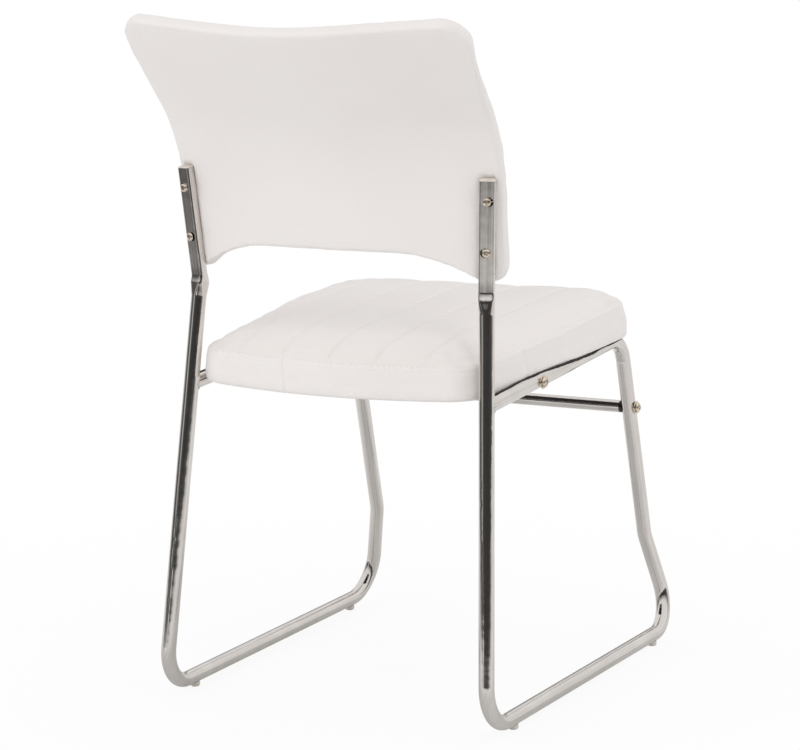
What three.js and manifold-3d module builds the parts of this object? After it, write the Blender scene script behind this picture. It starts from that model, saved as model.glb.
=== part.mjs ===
// Sled base visitor chair: two bent tube side frames, two crossbars, a channelled seat and a flared back.
// Millimetres, +Z up, the sitter faces -Y, and +X is the sitter's left.

import * as THREE from 'three';
import { mergeVertices } from 'three/addons/utils/BufferGeometryUtils.js';
import Module from 'manifold-3d';

const wasm = await Module();
wasm.setup();

// Clearances and cutting allowances
const seatGap = 0.3;          // between pieces that rest on each other
const bedGap = 0.4;           // between a cushion and what presses into it
const overrun = 4;            // how far a cutter runs past what it cuts
const weldTolerance = 0.0001; // distance under which two vertices are one

// Bent tube of the side frames
const tubeDiameter = 19;
const tubeWall = 1.2;
const glideStandoff = 5;      // underside of the runner above the floor
const floorBendRadius = 48;
const railBendRadius = 42;
const kinkRadius = 60;
const weldLeg = 3;
const saddleStep = 0.1;       // the rail's saddle-cut end is this much smaller in radius
const tubeRadius = tubeDiameter / 2;
const boreRadius = tubeRadius - tubeWall;
const runnerHeight = glideStandoff + tubeRadius;

// Corners of the side frame: spacing between the two frames, distance forward of the
// rear floor corner, and height above the floor, all to the middle of the tube
const uprightTopSpacing = 415;
const uprightTopForward = 54;
const uprightTopHeight = 670;
const uprightKinkInset = 9;   // each upright's kink inwards of its top
const uprightKinkForward = 66.5;
const rearCornerSpacing = 450;
const frontCornerSpacing = 460;
const frontCornerForward = 565;
const legKinkSpacing = 406;
const legKinkForward = 533.5;
const railFrontSpacing = 400;
const railFrontForward = 460.5;
const railFrontHeight = 421.5;
const railRearHeight = 400;
const uprightKinkShare = 0.476;   // up from the rail's rear end to the top of the upright
const legKinkShare = 0.312;       // up from the runner to the rail's front end

// A height at a share of the way from the rail's rear end to the top of the uprights
function aboveRail(share) {
  return railRearHeight + (uprightTopHeight - railRearHeight) * share;
}

const legKinkHeight = runnerHeight + (railFrontHeight - runnerHeight) * legKinkShare;
const uprightTop = { spacing: uprightTopSpacing, forward: uprightTopForward, height: uprightTopHeight };
const uprightKink = {
  spacing: uprightTopSpacing - uprightKinkInset * 2,
  forward: uprightKinkForward,
  height: aboveRail(uprightKinkShare),
};
const rearFloorCorner = { spacing: rearCornerSpacing, forward: 0, height: runnerHeight };
const frontFloorCorner = { spacing: frontCornerSpacing, forward: frontCornerForward, height: runnerHeight };
const legKink = { spacing: legKinkSpacing, forward: legKinkForward, height: legKinkHeight };
const railFront = { spacing: railFrontSpacing, forward: railFrontForward, height: railFrontHeight };

// Pressed flat from the top of each upright to its kink, where the back is screwed on
const flatWidth = 19.6;
const flatDepth = 12.6;
const flatCornerRadius = 4;
const flatTurn = THREE.MathUtils.degToRad(18);

// Crossbars between the frames, with a threaded insert in each end
const barDiameter = 16;
const barWall = 1.2;
const legBarShare = 0.65;     // up the front leg, from its kink to the rail bend
const railBarShare = 0.345;   // along the rail, from its rear end
const insertFlange = 2;
const insertSpigot = 22;
const barRadius = barDiameter / 2;

// Fasteners
const crossBolt = {
  shank: 6, length: 44, head: 13, rise: 4.2, rim: 1.4,
  recess: 8, slot: 1.9, depth: 2.6,
};
const backScrew = {
  shank: 5, length: 31, head: 10.4, rise: 3.6, rim: 1.1,
  recess: 6.4, slot: 1.5, depth: 2.2,
};
const seatScrew = {
  shank: 6, length: 16, head: 11, rise: 3.6, rim: 1.1,
  recess: 6.8, slot: 1.6, depth: 2.2,
};
const tipShare = 0.33;        // how much of a shank's radius its tip is bevelled by
const washerDiameter = 17.5;
const washerThickness = 1.5;
const holeClearance = 0.5;    // between a shank and its hole, on the radius
const threadClearance = 0.3;  // between a shank and its nut, on the radius
const backHoleDiameter = 9;   // the wide holes in the rear wall of the flat uprights
const upperScrewShare = 0.169;    // of the length from the upright's top to its kink
const lowerScrewShare = 0.604;
const teeNut = { barrel: 8.6, length: 8, flange: 17, flangeThickness: 1.2 };

// Floor glides
const glideDiameter = 12.6;
const glideFoot = 9.6;
const glideChamfer = 1.4;
const glideStem = 6;
const glideReach = 4;         // stem length inside the tube wall
const rearGlideShare = 0.129; // of the runner, from its rear corner
const frontGlideShare = 0.878;

// Plugs in the tops of the uprights
const plugStemShare = 0.58;   // of the way down to the upper back screw
const plugRim = 1.2;
const plugRise = 2.2;
const plugCrown = [[0.86, 0.6], [0.5, 1]];    // crown rings: shares of the outline and of the rise

// Seat fixing tabs, welded to the inside of the rails
const tabLength = 28;
const tabReach = 31;          // from the middle of the rail inwards
const tabThickness = 2.5;
const tabRootShare = 0.25;    // of the tube radius: where the tab meets the top of the rail
const tabHoleInset = 9;       // from the tab's inner end
const rearTabShare = 0.17;
const frontTabShare = 0.8;

// Seat
const seatRearOverhang = 34;  // behind the rail's rear end, at the middle
const seatFrontOverhang = 20.5;   // ahead of the rail's front end
const seatRearSideInset = 6;  // the cushion's side edge inwards of the middle of the rail
const seatFrontSideOverhang = 19; // and outwards of it at the front
const seatRearBow = 32;
const seatFrontBow = 12;
const seatCornerRadius = 40;
const seatSideHeight = 44;
const seatLip = 5;            // how far the border hangs below the top of the rails
const seatCrown = 17;
const seatPuff = 3.5;
const channelDepth = 3;
const crownPower = 4;         // how flat the seat's crown is before it falls to the border
const quiltFade = 4;          // the channels fade below one part in this many of the crown
const seatPanels = 6;
const waterfallLength = 70;
const waterfallDrop = 3;
const seatEdgeInset = 4.5;
const boardThickness = 12;
const seatBoardInset = 7;     // from the cushion's outline
const dustCoverInset = 11;
const dustCoverThickness = 1;

// Back
const backSideOverhang = 15.5;    // beyond the middle of each upright
const backTopSpread = 9;      // by how much each side is further out at the top
const backWrap = 45;          // how far the middle lies behind the sides
const flareStartDrop = 30;    // below the top of the uprights
const flareRadius = 200;
const flareAngle = THREE.MathUtils.degToRad(35);
const backTopShare = 1.648;   // heights as shares from the rail to the top of the uprights
const backArchShare = 0.656;
const backEarShare = 0.53;
const backTopRise = 11;       // corners above the middle
const backArchFlat = 90;      // half length of the level part of the arch
const backEarReachShare = 0.77;   // from there to the side, where the ear is lowest
const backTopCornerRadius = 34;
const backEarRadius = 24;
const backThickness = 36;
const fullnessPower = 3;      // how flat the back's front is before it thins to its edge
const backEdgeThickness = 17;
const backEdgeInset = 5;
const backBoardDepth = 6;     // board's rear face below the cushion's rear face
const backBoardThickness = 11;
const backBoardInset = 9;

// Facet counts
const tubeCornerFacets = 4;   // points on each quarter of a tube section
const boreFacets = 3;
const floorBendSteps = 9;
const railBendSteps = 8;
const kinkSteps = 3;
const roundSides = 12;
const holeSides = 10;
const saddleSides = 24;
const domeSteps = 3;

// Finishes
const chrome = { color: 0xc9c9c6, metalness: 1, roughness: 0.12 };
const nickel = { color: 0xb9a88c, metalness: 1, roughness: 0.3 };
const zinc = { color: 0x9b9d9c, metalness: 0.9, roughness: 0.45 };
const whiteCover = { color: 0xe9e6e2, metalness: 0, roughness: 0.5 };
const blackCloth = { color: 0x1c1c1c, metalness: 0, roughness: 0.95 };
const plywood = { color: 0xb89468, metalness: 0, roughness: 0.7 };
const ivoryPlastic = { color: 0xd9d0bf, metalness: 0, roughness: 0.45 };

// Solids and meshes

function signedVolume(positions, index) {
  const a = new THREE.Vector3();
  const b = new THREE.Vector3();
  const c = new THREE.Vector3();
  let sum = 0;
  for (let i = 0; i < index.length; i += 3) {
    a.fromArray(positions, index[i] * 3);
    b.fromArray(positions, index[i + 1] * 3);
    c.fromArray(positions, index[i + 2] * 3);
    sum += a.dot(b.cross(c));
  }
  return sum;
}

// A closed geometry as a solid, with its shared vertices merged and its faces pointing out
function toSolid(geometry) {
  const bare = geometry.clone();
  for (const name of Object.keys(bare.attributes)) {
    if (name !== 'position') bare.deleteAttribute(name);
  }
  const merged = mergeVertices(bare, weldTolerance);
  const positions = Float32Array.from(merged.attributes.position.array);
  const source = merged.index.array;
  const triangles = [];
  for (let i = 0; i < source.length; i += 3) {
    const [a, b, c] = [source[i], source[i + 1], source[i + 2]];
    if (a !== b && b !== c && c !== a) triangles.push(a, b, c);
  }
  if (signedVolume(positions, triangles) < 0) triangles.reverse();
  const triVerts = Uint32Array.from(triangles);
  return new wasm.Manifold(new wasm.Mesh({ numProp: 3, vertProperties: positions, triVerts }));
}

function toGeometry(solid) {
  const mesh = solid.getMesh();
  const geometry = new THREE.BufferGeometry();
  geometry.setAttribute('position', new THREE.BufferAttribute(Float32Array.from(mesh.vertProperties), 3));
  geometry.setIndex(new THREE.BufferAttribute(Uint32Array.from(mesh.triVerts), 1));
  const flat = geometry.toNonIndexed();
  flat.computeVertexNormals();
  return flat;
}

const chair = new THREE.Group();

function addPiece(name, solid, finish, parent = chair) {
  const mesh = new THREE.Mesh(toGeometry(solid), new THREE.MeshStandardMaterial(finish));
  mesh.name = name;
  parent.add(mesh);
  return mesh;
}

// A closed skin over rings of points that all have the same count
function loft(rings) {
  const count = rings[0].length;
  const positions = [];
  const index = [];
  for (const ring of rings) {
    for (const point of ring) positions.push(point.x, point.y, point.z);
  }
  for (let i = 0; i + 1 < rings.length; i += 1) {
    for (let k = 0; k < count; k += 1) {
      const next = (k + 1) % count;
      const [a, b] = [i * count + k, i * count + next];
      const [c, d] = [a + count, b + count];
      index.push(a, b, d, a, d, c);
    }
  }
  const last = (rings.length - 1) * count;
  for (let k = 1; k + 1 < count; k += 1) {
    index.push(0, k + 1, k);
    index.push(last, last + k, last + k + 1);
  }
  const geometry = new THREE.BufferGeometry();
  geometry.setAttribute('position', new THREE.Float32BufferAttribute(positions, 3));
  geometry.setIndex(index);
  return geometry;
}

// A round bar between two points
function rod(from, to, radius, sides = holeSides) {
  const axis = to.clone().sub(from);
  const geometry = new THREE.CylinderGeometry(radius, radius, axis.length(), sides);
  const turn = new THREE.Quaternion().setFromUnitVectors(new THREE.Vector3(0, 1, 0), axis.normalize());
  geometry.applyQuaternion(turn);
  const middle = from.clone().lerp(to, 0.5);
  geometry.translate(middle.x, middle.y, middle.z);
  return toSolid(geometry);
}

// A round cutter whose flats clear the given radius
function borer(from, to, radius, sides = holeSides) {
  return rod(from, to, radius / Math.cos(Math.PI / sides), sides);
}

// A turned piece about Z from [radius, height] pairs
function turned(profile, sides = roundSides) {
  const points = profile.map(([radius, height]) => new THREE.Vector2(radius, height));
  return toSolid(new THREE.LatheGeometry(points, sides).rotateX(Math.PI / 2));
}

function along(from, to, share) {
  return from.clone().lerp(to, share);
}

function stepped(from, direction, distance) {
  return from.clone().addScaledVector(direction, distance);
}

function directionFrom(from, to) {
  return to.clone().sub(from).normalize();
}

// Side frames

const sides = [
  { label: 'right', sign: -1 },
  { label: 'left', sign: 1 },
];

function cornerPoint(corner, sign) {
  return new THREE.Vector3(sign * corner.spacing / 2, -corner.forward, corner.height);
}

// The straight line of an upright below its kink, at a given height
function uprightAt(sign, height) {
  const low = cornerPoint(rearFloorCorner, sign);
  const high = cornerPoint(uprightKink, sign);
  return along(low, high, (height - low.z) / (high.z - low.z));
}

function railEnd(sign) {
  return uprightAt(sign, railRearHeight);
}

// Points and tangents along straight runs joined by arcs; a corner without a radius is a plain station.
// A flat corner with a radius runs out from flat to round over its arc.
function bentPath(corners) {
  const stations = [];
  corners.forEach((corner, i) => {
    const before = corners[i - 1];
    const after = corners[i + 1];
    if (!corner.radius) {
      const from = before ? before.point : corner.point;
      const to = before ? corner.point : after.point;
      stations.push({ point: corner.point, tangent: directionFrom(from, to), flat: corner.flat ?? 0 });
      return;
    }
    const into = directionFrom(before.point, corner.point);
    const out = directionFrom(corner.point, after.point);
    const angle = into.angleTo(out);
    const start = stepped(corner.point, into, -corner.radius * Math.tan(angle / 2));
    const inward = out.clone().addScaledVector(into, -out.dot(into)).normalize();
    for (let k = 0; k <= corner.steps; k += 1) {
      const swing = angle * k / corner.steps;
      const point = stepped(start, into, corner.radius * Math.sin(swing));
      point.addScaledVector(inward, corner.radius * (1 - Math.cos(swing)));
      const tangent = into.clone().multiplyScalar(Math.cos(swing)).addScaledVector(inward, Math.sin(swing));
      stations.push({ point, tangent, flat: (corner.flat ?? 0) * (1 - k / corner.steps) });
    }
  });
  return stations;
}

// A section between round and pressed flat, as points on its width and depth axes
function tubeSection(flat, inset, facets) {
  const radius = THREE.MathUtils.lerp(tubeRadius, flatCornerRadius, flat) - inset;
  const wide = flat * (flatWidth / 2 - flatCornerRadius);
  const deep = flat * (flatDepth / 2 - flatCornerRadius);
  const points = [];
  for (let quarter = 0; quarter < 4; quarter += 1) {
    for (let k = 0; k < facets; k += 1) {
      const angle = (quarter + (k + 0.5) / facets) * Math.PI / 2;
      const [c, s] = [Math.cos(angle), Math.sin(angle)];
      points.push([Math.sign(c) * wide + radius * c, Math.sign(s) * deep + radius * s]);
    }
  }
  return points;
}

// The width axis at the top of an upright: level, square to the tube, its rear face turned outwards
function uprightFrame(sign) {
  const down = directionFrom(cornerPoint(uprightTop, sign), cornerPoint(uprightKink, sign));
  const rearward = new THREE.Vector3(sign * Math.sin(flatTurn), Math.cos(flatTurn), 0);
  const width = new THREE.Vector3().crossVectors(down, rearward).normalize();
  const depth = new THREE.Vector3().crossVectors(down, width).normalize();
  if (depth.y < 0) depth.negate();
  return { down, width, rearward: depth };
}

function sweepTube(stations, sign, inset, facets) {
  let normal = uprightFrame(sign).width.clone();
  let previous = stations[0].tangent;
  const rings = stations.map(({ point, tangent, flat }) => {
    const turn = new THREE.Quaternion().setFromUnitVectors(previous, tangent);
    normal = normal.applyQuaternion(turn);
    normal.addScaledVector(tangent, -normal.dot(tangent)).normalize();
    previous = tangent;
    const binormal = new THREE.Vector3().crossVectors(tangent, normal);
    return tubeSection(flat, inset, facets).map(([w, d]) => {
      return stepped(stepped(point, normal, w), binormal, d);
    });
  });
  return toSolid(loft(rings));
}

// The whole bent tube, from the open top of the upright round to the rail's welded end
function framePath(sign, topExtra, endSetback) {
  const top = cornerPoint(uprightTop, sign);
  const kink = cornerPoint(uprightKink, sign);
  const down = directionFrom(top, kink);
  const corner = cornerPoint(railFront, sign);
  const end = railEnd(sign);
  const outwards = directionFrom(end, corner);
  return bentPath([
    { point: stepped(top, down, -topExtra), flat: 1 },
    { point: kink, radius: kinkRadius, steps: kinkSteps, flat: 1 },
    { point: cornerPoint(rearFloorCorner, sign), radius: floorBendRadius, steps: floorBendSteps },
    { point: cornerPoint(frontFloorCorner, sign), radius: floorBendRadius, steps: floorBendSteps },
    { point: cornerPoint(legKink, sign), radius: kinkRadius, steps: kinkSteps },
    { point: corner, radius: railBendRadius, steps: railBendSteps },
    { point: stepped(end, outwards, endSetback) },
  ]);
}

// The rail's saddle-cut end and the weld bead round it, where the rail meets the upright
function railJoint(sign) {
  const end = railEnd(sign);
  const forward = directionFrom(end, cornerPoint(railFront, sign));
  const up = directionFrom(cornerPoint(rearFloorCorner, sign), cornerPoint(uprightKink, sign));
  const collar = rod(
    stepped(end, forward, tubeRadius / 2),
    stepped(end, forward, tubeDiameter),
    tubeRadius + weldLeg / 2,
    roundSides,
  );
  const reach = tubeDiameter;
  const jacket = rod(stepped(end, up, -reach), stepped(end, up, reach), tubeRadius + weldLeg, roundSides);
  const saddleEnd = rod(end, stepped(end, forward, tubeDiameter), tubeRadius - saddleStep, roundSides);
  return collar.intersect(jacket).add(saddleEnd);
}

// The seat lies in its own sloping frame: X across, Y to the rear, Z up from the tops of the rails
const railLow = railEnd(1);
const railHigh = cornerPoint(railFront, 1);
const seatSlope = Math.atan2(railHigh.z - railLow.z, railLow.y - railHigh.y);
const seatGroup = new THREE.Group();
seatGroup.rotation.x = -seatSlope;
seatGroup.position.set(0, railLow.y, railLow.z + tubeRadius / Math.cos(seatSlope));
seatGroup.updateMatrix();

// A point of the seat's own frame above a given share of the rail
function seatPointOnRail(sign, share, inwards) {
  const length = railLow.distanceTo(railHigh);
  const halfSpacing = THREE.MathUtils.lerp(railLow.x, railHigh.x, share);
  return new THREE.Vector3(sign * (halfSpacing - inwards), -length * share, 0);
}

function tab(sign, share) {
  const root = seatPointOnRail(sign, share, tabRootShare * tubeRadius);
  const hole = seatPointOnRail(sign, share, tabReach - tabHoleInset);
  const half = tabLength / 2;
  const shape = new THREE.Shape();
  shape.moveTo(root.x, root.y - half);
  shape.lineTo(hole.x, root.y - half);
  shape.absellipse(hole.x, root.y, tabHoleInset, half, -Math.PI / 2, Math.PI / 2, sign > 0, 0);
  shape.lineTo(root.x, root.y + half);
  shape.closePath();
  const opening = new THREE.Path();
  opening.absarc(hole.x, hole.y, seatScrew.shank / 2 + holeClearance, 0, Math.PI * 2);
  shape.holes.push(opening);
  const plate = new THREE.ExtrudeGeometry(shape, {
    depth: tabThickness,
    bevelEnabled: false,
    curveSegments: holeSides / 2,
  });
  plate.translate(0, 0, -tabThickness);
  plate.applyMatrix4(seatGroup.matrix);
  return toSolid(plate);
}

// Where a crossbar's bolt passes through the tube, and the tube's own direction there
function barAnchors(sign) {
  const kink = cornerPoint(legKink, sign);
  const front = cornerPoint(railFront, sign);
  const rear = railEnd(sign);
  return [
    { label: 'front', point: along(kink, front, legBarShare), run: directionFrom(kink, front) },
    { label: 'rear', point: along(rear, front, railBarShare), run: directionFrom(rear, front) },
  ];
}

function screwPoint(sign, share) {
  return along(cornerPoint(uprightTop, sign), cornerPoint(uprightKink, sign), share);
}

function runnerAt(sign, share) {
  return along(cornerPoint(rearFloorCorner, sign), cornerPoint(frontFloorCorner, sign), share);
}

const across = new THREE.Vector3(1, 0, 0);
const upwards = new THREE.Vector3(0, 0, 1);
const tabShares = [rearTabShare, frontTabShare];
const screwSpots = [
  { level: 'upper', share: upperScrewShare },
  { level: 'lower', share: lowerScrewShare },
];
const glideSpots = [
  { end: 'rear', share: rearGlideShare },
  { end: 'front', share: frontGlideShare },
];

function sideFrame(sign) {
  let frame = sweepTube(framePath(sign, 0, tubeRadius + weldLeg), sign, 0, tubeCornerFacets);
  frame = frame.add(railJoint(sign));
  for (const share of tabShares) frame = frame.add(tab(sign, share));
  const bore = sweepTube(framePath(sign, overrun, tubeDiameter + overrun), sign, tubeWall, boreFacets);
  frame = frame.subtract(bore);
  for (const { point } of barAnchors(sign)) {
    const radius = crossBolt.shank / 2 + holeClearance;
    const reach = tubeRadius + overrun;
    frame = frame.subtract(borer(stepped(point, across, -reach), stepped(point, across, reach), radius));
  }
  const { rearward } = uprightFrame(sign);
  const reach = flatDepth / 2 + overrun;
  for (const { share } of screwSpots) {
    const point = screwPoint(sign, share);
    const front = stepped(point, rearward, -reach);
    const rear = stepped(point, rearward, reach);
    frame = frame.subtract(borer(front, point, backScrew.shank / 2 + holeClearance));
    frame = frame.subtract(borer(point, rear, backHoleDiameter / 2));
  }
  for (const { share } of glideSpots) {
    const point = runnerAt(sign, share);
    const below = stepped(point, upwards, -tubeDiameter);
    frame = frame.subtract(borer(below, point, glideStem / 2 + threadClearance));
  }
  return frame;
}

for (const { label, sign } of sides) addPiece(`side_frame_${label}`, sideFrame(sign), chrome);

// Fasteners, each with its bearing face at the origin, its head along +Z and its shank along -Z

function domedHead(size) {
  const radius = size.head / 2;
  const dome = [];
  for (let k = 0; k < domeSteps; k += 1) {
    const angle = (k / domeSteps) * Math.PI / 2;
    dome.push([radius * Math.cos(angle), size.rim + (size.rise - size.rim) * Math.sin(angle)]);
  }
  return [[radius, 0], ...dome, [0, size.rise]];
}

function crossHeadScrew(size) {
  const shank = size.shank / 2;
  const tip = shank * tipShare;
  const body = turned([
    [0, -size.length],
    [shank - tip, -size.length],
    [shank, -size.length + tip],
    [shank, 0],
    ...domedHead(size),
  ]);
  let recess = toSolid(new THREE.BoxGeometry(size.recess, size.slot, size.depth * 2));
  recess = recess.add(toSolid(new THREE.BoxGeometry(size.slot, size.recess, size.depth * 2)));
  return body.subtract(recess.translate([0, 0, size.rise]));
}

function flatWasher() {
  const inner = crossBolt.shank / 2 + threadClearance;
  const outer = washerDiameter / 2;
  const top = washerThickness;
  return turned([[inner, 0], [outer, 0], [outer, top], [inner, top], [inner, 0]]);
}

// A tee nut with its flange's bearing face at the origin and its barrel along -Z
function flangedNut(shank) {
  const bore = shank / 2 + threadClearance;
  const barrel = teeNut.barrel / 2;
  const flange = teeNut.flange / 2;
  const foot = -teeNut.length;
  const lid = teeNut.flangeThickness;
  return turned([
    [bore, foot], [barrel, foot], [barrel, 0], [flange, 0], [flange, lid], [bore, lid], [bore, foot],
  ], holeSides);
}

function aim(mesh, position, direction) {
  mesh.position.copy(position);
  mesh.quaternion.setFromUnitVectors(upwards, direction);
}

// Crossbars with their end inserts, bolts and washers

function barInsert(anchor, sign) {
  const outward = across.clone().multiplyScalar(sign);
  const barEnd = stepped(anchor.point, outward, -(tubeRadius + seatGap + insertFlange));
  const reach = tubeDiameter;
  let insert = rod(stepped(barEnd, outward, seatGap), anchor.point, barRadius, roundSides);
  insert = insert.add(rod(
    stepped(barEnd, outward, -insertSpigot),
    stepped(barEnd, outward, seatGap + insertFlange / 2),
    barRadius - barWall - seatGap,
    roundSides,
  ));
  insert = insert.subtract(borer(
    stepped(anchor.point, anchor.run, -reach),
    stepped(anchor.point, anchor.run, reach),
    tubeRadius + seatGap,
    saddleSides,
  ));
  const hole = crossBolt.shank / 2 + threadClearance;
  const depth = stepped(barEnd, outward, -insertSpigot - overrun);
  return insert.subtract(borer(depth, anchor.point, hole));
}

function crossbar(from, to) {
  const half = from.distanceTo(to) / 2;
  const inner = barRadius - barWall;
  const outer = barRadius;
  return turned([[inner, -half], [outer, -half], [outer, half], [inner, half], [inner, -half]], roundSides);
}

const [rightAnchors, leftAnchors] = sides.map(({ sign }) => barAnchors(sign));
rightAnchors.forEach((right, i) => {
  const left = leftAnchors[i];
  const setback = tubeRadius + seatGap + insertFlange;
  const from = stepped(right.point, across, setback);
  const to = stepped(left.point, across, -setback);
  const bar = addPiece(`${right.label}_crossbar`, crossbar(from, to), chrome);
  aim(bar, along(from, to, 0.5), across);
});

for (const { label, sign } of sides) {
  const outward = across.clone().multiplyScalar(sign);
  for (const anchor of barAnchors(sign)) {
    const place = `${anchor.label}_${label}`;
    addPiece(`bar_insert_${place}`, barInsert(anchor, sign), zinc);
    const washerSeat = stepped(anchor.point, outward, tubeRadius + seatGap);
    aim(addPiece(`bar_washer_${place}`, flatWasher(), nickel), washerSeat, outward);
    const headSeat = stepped(washerSeat, outward, washerThickness + seatGap);
    aim(addPiece(`bar_bolt_${place}`, crossHeadScrew(crossBolt), nickel), headSeat, outward);
  }
}

// Floor glides: a flat foot, a saddle round the runner and a stem pressed into the tube

function glide(sign, share) {
  const axis = runnerAt(sign, share);
  const run = directionFrom(cornerPoint(rearFloorCorner, sign), cornerPoint(frontFloorCorner, sign));
  const half = glideDiameter / 2;
  const rim = glideFoot / 2;
  let foot = turned([[0, 0], [rim, 0], [half, glideChamfer], [half, runnerHeight], [0, runnerHeight]]);
  foot = foot.translate([axis.x, axis.y, 0]);
  const from = stepped(axis, run, -glideDiameter);
  const to = stepped(axis, run, glideDiameter);
  const runner = borer(from, to, tubeRadius + seatGap, saddleSides);
  const stemTop = stepped(axis, upwards, glideReach - boreRadius);
  const stemFoot = new THREE.Vector3(axis.x, axis.y, glideStandoff / 2);
  return foot.subtract(runner).add(rod(stemFoot, stemTop, glideStem / 2));
}

for (const { label, sign } of sides) {
  for (const { end, share } of glideSpots) {
    addPiece(`floor_glide_${end}_${label}`, glide(sign, share), ivoryPlastic);
  }
}

// Plugs in the open tops of the uprights, with the outline of the pressed tube

function plug(sign) {
  const top = cornerPoint(uprightTop, sign);
  const plugStem = top.distanceTo(screwPoint(sign, upperScrewShare)) * plugStemShare;
  const ring = (inset, scale, height) => tubeSection(1, inset, tubeCornerFacets)
    .map(([w, d]) => new THREE.Vector3(w * scale, d * scale, height));
  const stemInset = tubeWall + seatGap;
  const rim = seatGap + plugRim;
  return toSolid(loft([
    ring(stemInset, 1, -plugStem),
    ring(stemInset, 1, seatGap),
    ring(0, 1, seatGap),
    ring(0, 1, rim),
    ...plugCrown.map(([scale, rise]) => ring(0, scale, rim + plugRise * rise)),
  ]));
}

for (const { label, sign } of sides) {
  const { down, width } = uprightFrame(sign);
  const mesh = addPiece(`upright_plug_${label}`, plug(sign), ivoryPlastic);
  const up = down.clone().negate();
  const depth = new THREE.Vector3().crossVectors(up, width);
  mesh.position.copy(cornerPoint(uprightTop, sign));
  mesh.quaternion.setFromRotationMatrix(new THREE.Matrix4().makeBasis(width, depth, up));
}

// Upholstered panels: a front and a rear face over a grid, joined by rings round the rim.
// outline maps a column and a row, both from -1 to 1, to a place in the panel's plane.

function panelLoop(columns, rows, outline) {
  const loop = [];
  const [lastColumn, lastRow] = [columns.length - 1, rows.length - 1];
  for (let i = 0; i < lastColumn; i += 1) loop.push([i, 0]);
  for (let j = 0; j < lastRow; j += 1) loop.push([lastColumn, j]);
  for (let i = lastColumn; i > 0; i -= 1) loop.push([i, lastRow]);
  for (let j = lastRow; j > 0; j -= 1) loop.push([0, j]);
  const places = loop.map(([i, j]) => outline(columns[i], rows[j]));
  const inward = THREE.ShapeUtils.area(places) > 0 ? 1 : -1;
  const normals = places.map((_, k) => {
    const ahead = places[(k + 1) % places.length];
    const behind = places[(k + places.length - 1) % places.length];
    const run = ahead.clone().sub(behind).normalize();
    return new THREE.Vector2(-run.y * inward, run.x * inward);
  });
  const inset = (distance) => places.map((place, k) => place.clone().addScaledVector(normals[k], distance));
  return { loop, inset };
}

// low and high give each face's depth at a grid point; rim lists [inset, depth] pairs from low to high
function panelSolid({ columns, rows, outline, faceInset, low, high, rim, toSpace }) {
  const { loop, inset } = panelLoop(columns, rows, outline);
  const edge = inset(faceInset);
  const edgeAt = new Map(loop.map(([i, j], k) => [`${i},${j}`, edge[k]]));
  const positions = [];
  const index = [];
  const push = (place, depth) => {
    const point = toSpace(place, depth);
    positions.push(point.x, point.y, point.z);
    return positions.length / 3 - 1;
  };
  const face = (depthAt) => columns.map((h, i) => rows.map((v, j) => {
    const place = edgeAt.get(`${i},${j}`) ?? outline(h, v);
    return push(place, depthAt(h, v));
  }));
  const lowFace = face(low);
  const highFace = face(high);
  for (let i = 0; i + 1 < columns.length; i += 1) {
    for (let j = 0; j + 1 < rows.length; j += 1) {
      const corners = (grid) => [grid[i][j], grid[i + 1][j], grid[i + 1][j + 1], grid[i][j + 1]];
      const [a, b, c, d] = corners(highFace);
      index.push(a, b, c, a, c, d);
      const [e, f, g, h] = corners(lowFace);
      index.push(e, g, f, e, h, g);
    }
  }
  const rings = [
    loop.map(([i, j]) => lowFace[i][j]),
    ...rim.map(([distance, depthAt]) => {
      const ring = inset(distance);
      return loop.map(([i, j], k) => push(ring[k], depthAt(columns[i], rows[j])));
    }),
    loop.map(([i, j]) => highFace[i][j]),
  ];
  for (let r = 0; r + 1 < rings.length; r += 1) {
    for (let k = 0; k < loop.length; k += 1) {
      const next = (k + 1) % loop.length;
      const [a, b, c, d] = [rings[r][k], rings[r][next], rings[r + 1][next], rings[r + 1][k]];
      index.push(a, b, c, a, c, d);
    }
  }
  const geometry = new THREE.BufferGeometry();
  geometry.setAttribute('position', new THREE.Float32BufferAttribute(positions, 3));
  geometry.setIndex(index);
  return toSolid(geometry);
}

// How far a rounded corner draws an edge in, at a place across it
function cornerDraw(place, halfWidth, radius) {
  const over = Math.abs(place) - (halfWidth - radius);
  if (over <= 0) return 0;
  return radius - Math.sqrt(Math.max(0, radius * radius - over * over));
}

// Seat

chair.add(seatGroup);

const seatLength = railLow.distanceTo(railHigh) + seatFrontOverhang + seatRearOverhang;

function seatOutline(h, v) {
  const share = (v + 1) / 2;
  const rearHalf = railLow.x - seatRearSideInset;
  const frontHalf = railHigh.x + seatFrontSideOverhang;
  const halfWidth = THREE.MathUtils.lerp(rearHalf, frontHalf, share);
  const draw = cornerDraw(h * halfWidth, halfWidth, seatCornerRadius);
  const rear = seatRearBow * h * h + draw;
  const front = seatLength - seatFrontBow * h * h - draw;
  const forward = THREE.MathUtils.lerp(rear, front, share) - seatRearOverhang;
  return new THREE.Vector2(h * halfWidth, -forward);
}

// Columns follow the sewn channels, with closer ones beside each seam and round the corners
const panelShares = [0, 0.1, 0.5, 0.9];
const cornerShares = [0, 0.1, 0.35, 0.6, 0.8, 0.93];

function seatColumns() {
  const half = [];
  for (let panel = 0; panel < seatPanels / 2; panel += 1) {
    const shares = panel === seatPanels / 2 - 1 ? cornerShares : panelShares;
    for (const share of shares) half.push((panel + share) * 2 / seatPanels);
  }
  half.push(1);
  return [...half.slice(1).reverse().map((h) => -h), ...half];
}

const seatRows = [-1, -0.94, -0.8, -0.5, -0.15, 0.2, 0.5, 0.75, 0.9, 1];

const borderHeight = seatSideHeight - seatLip;

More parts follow.
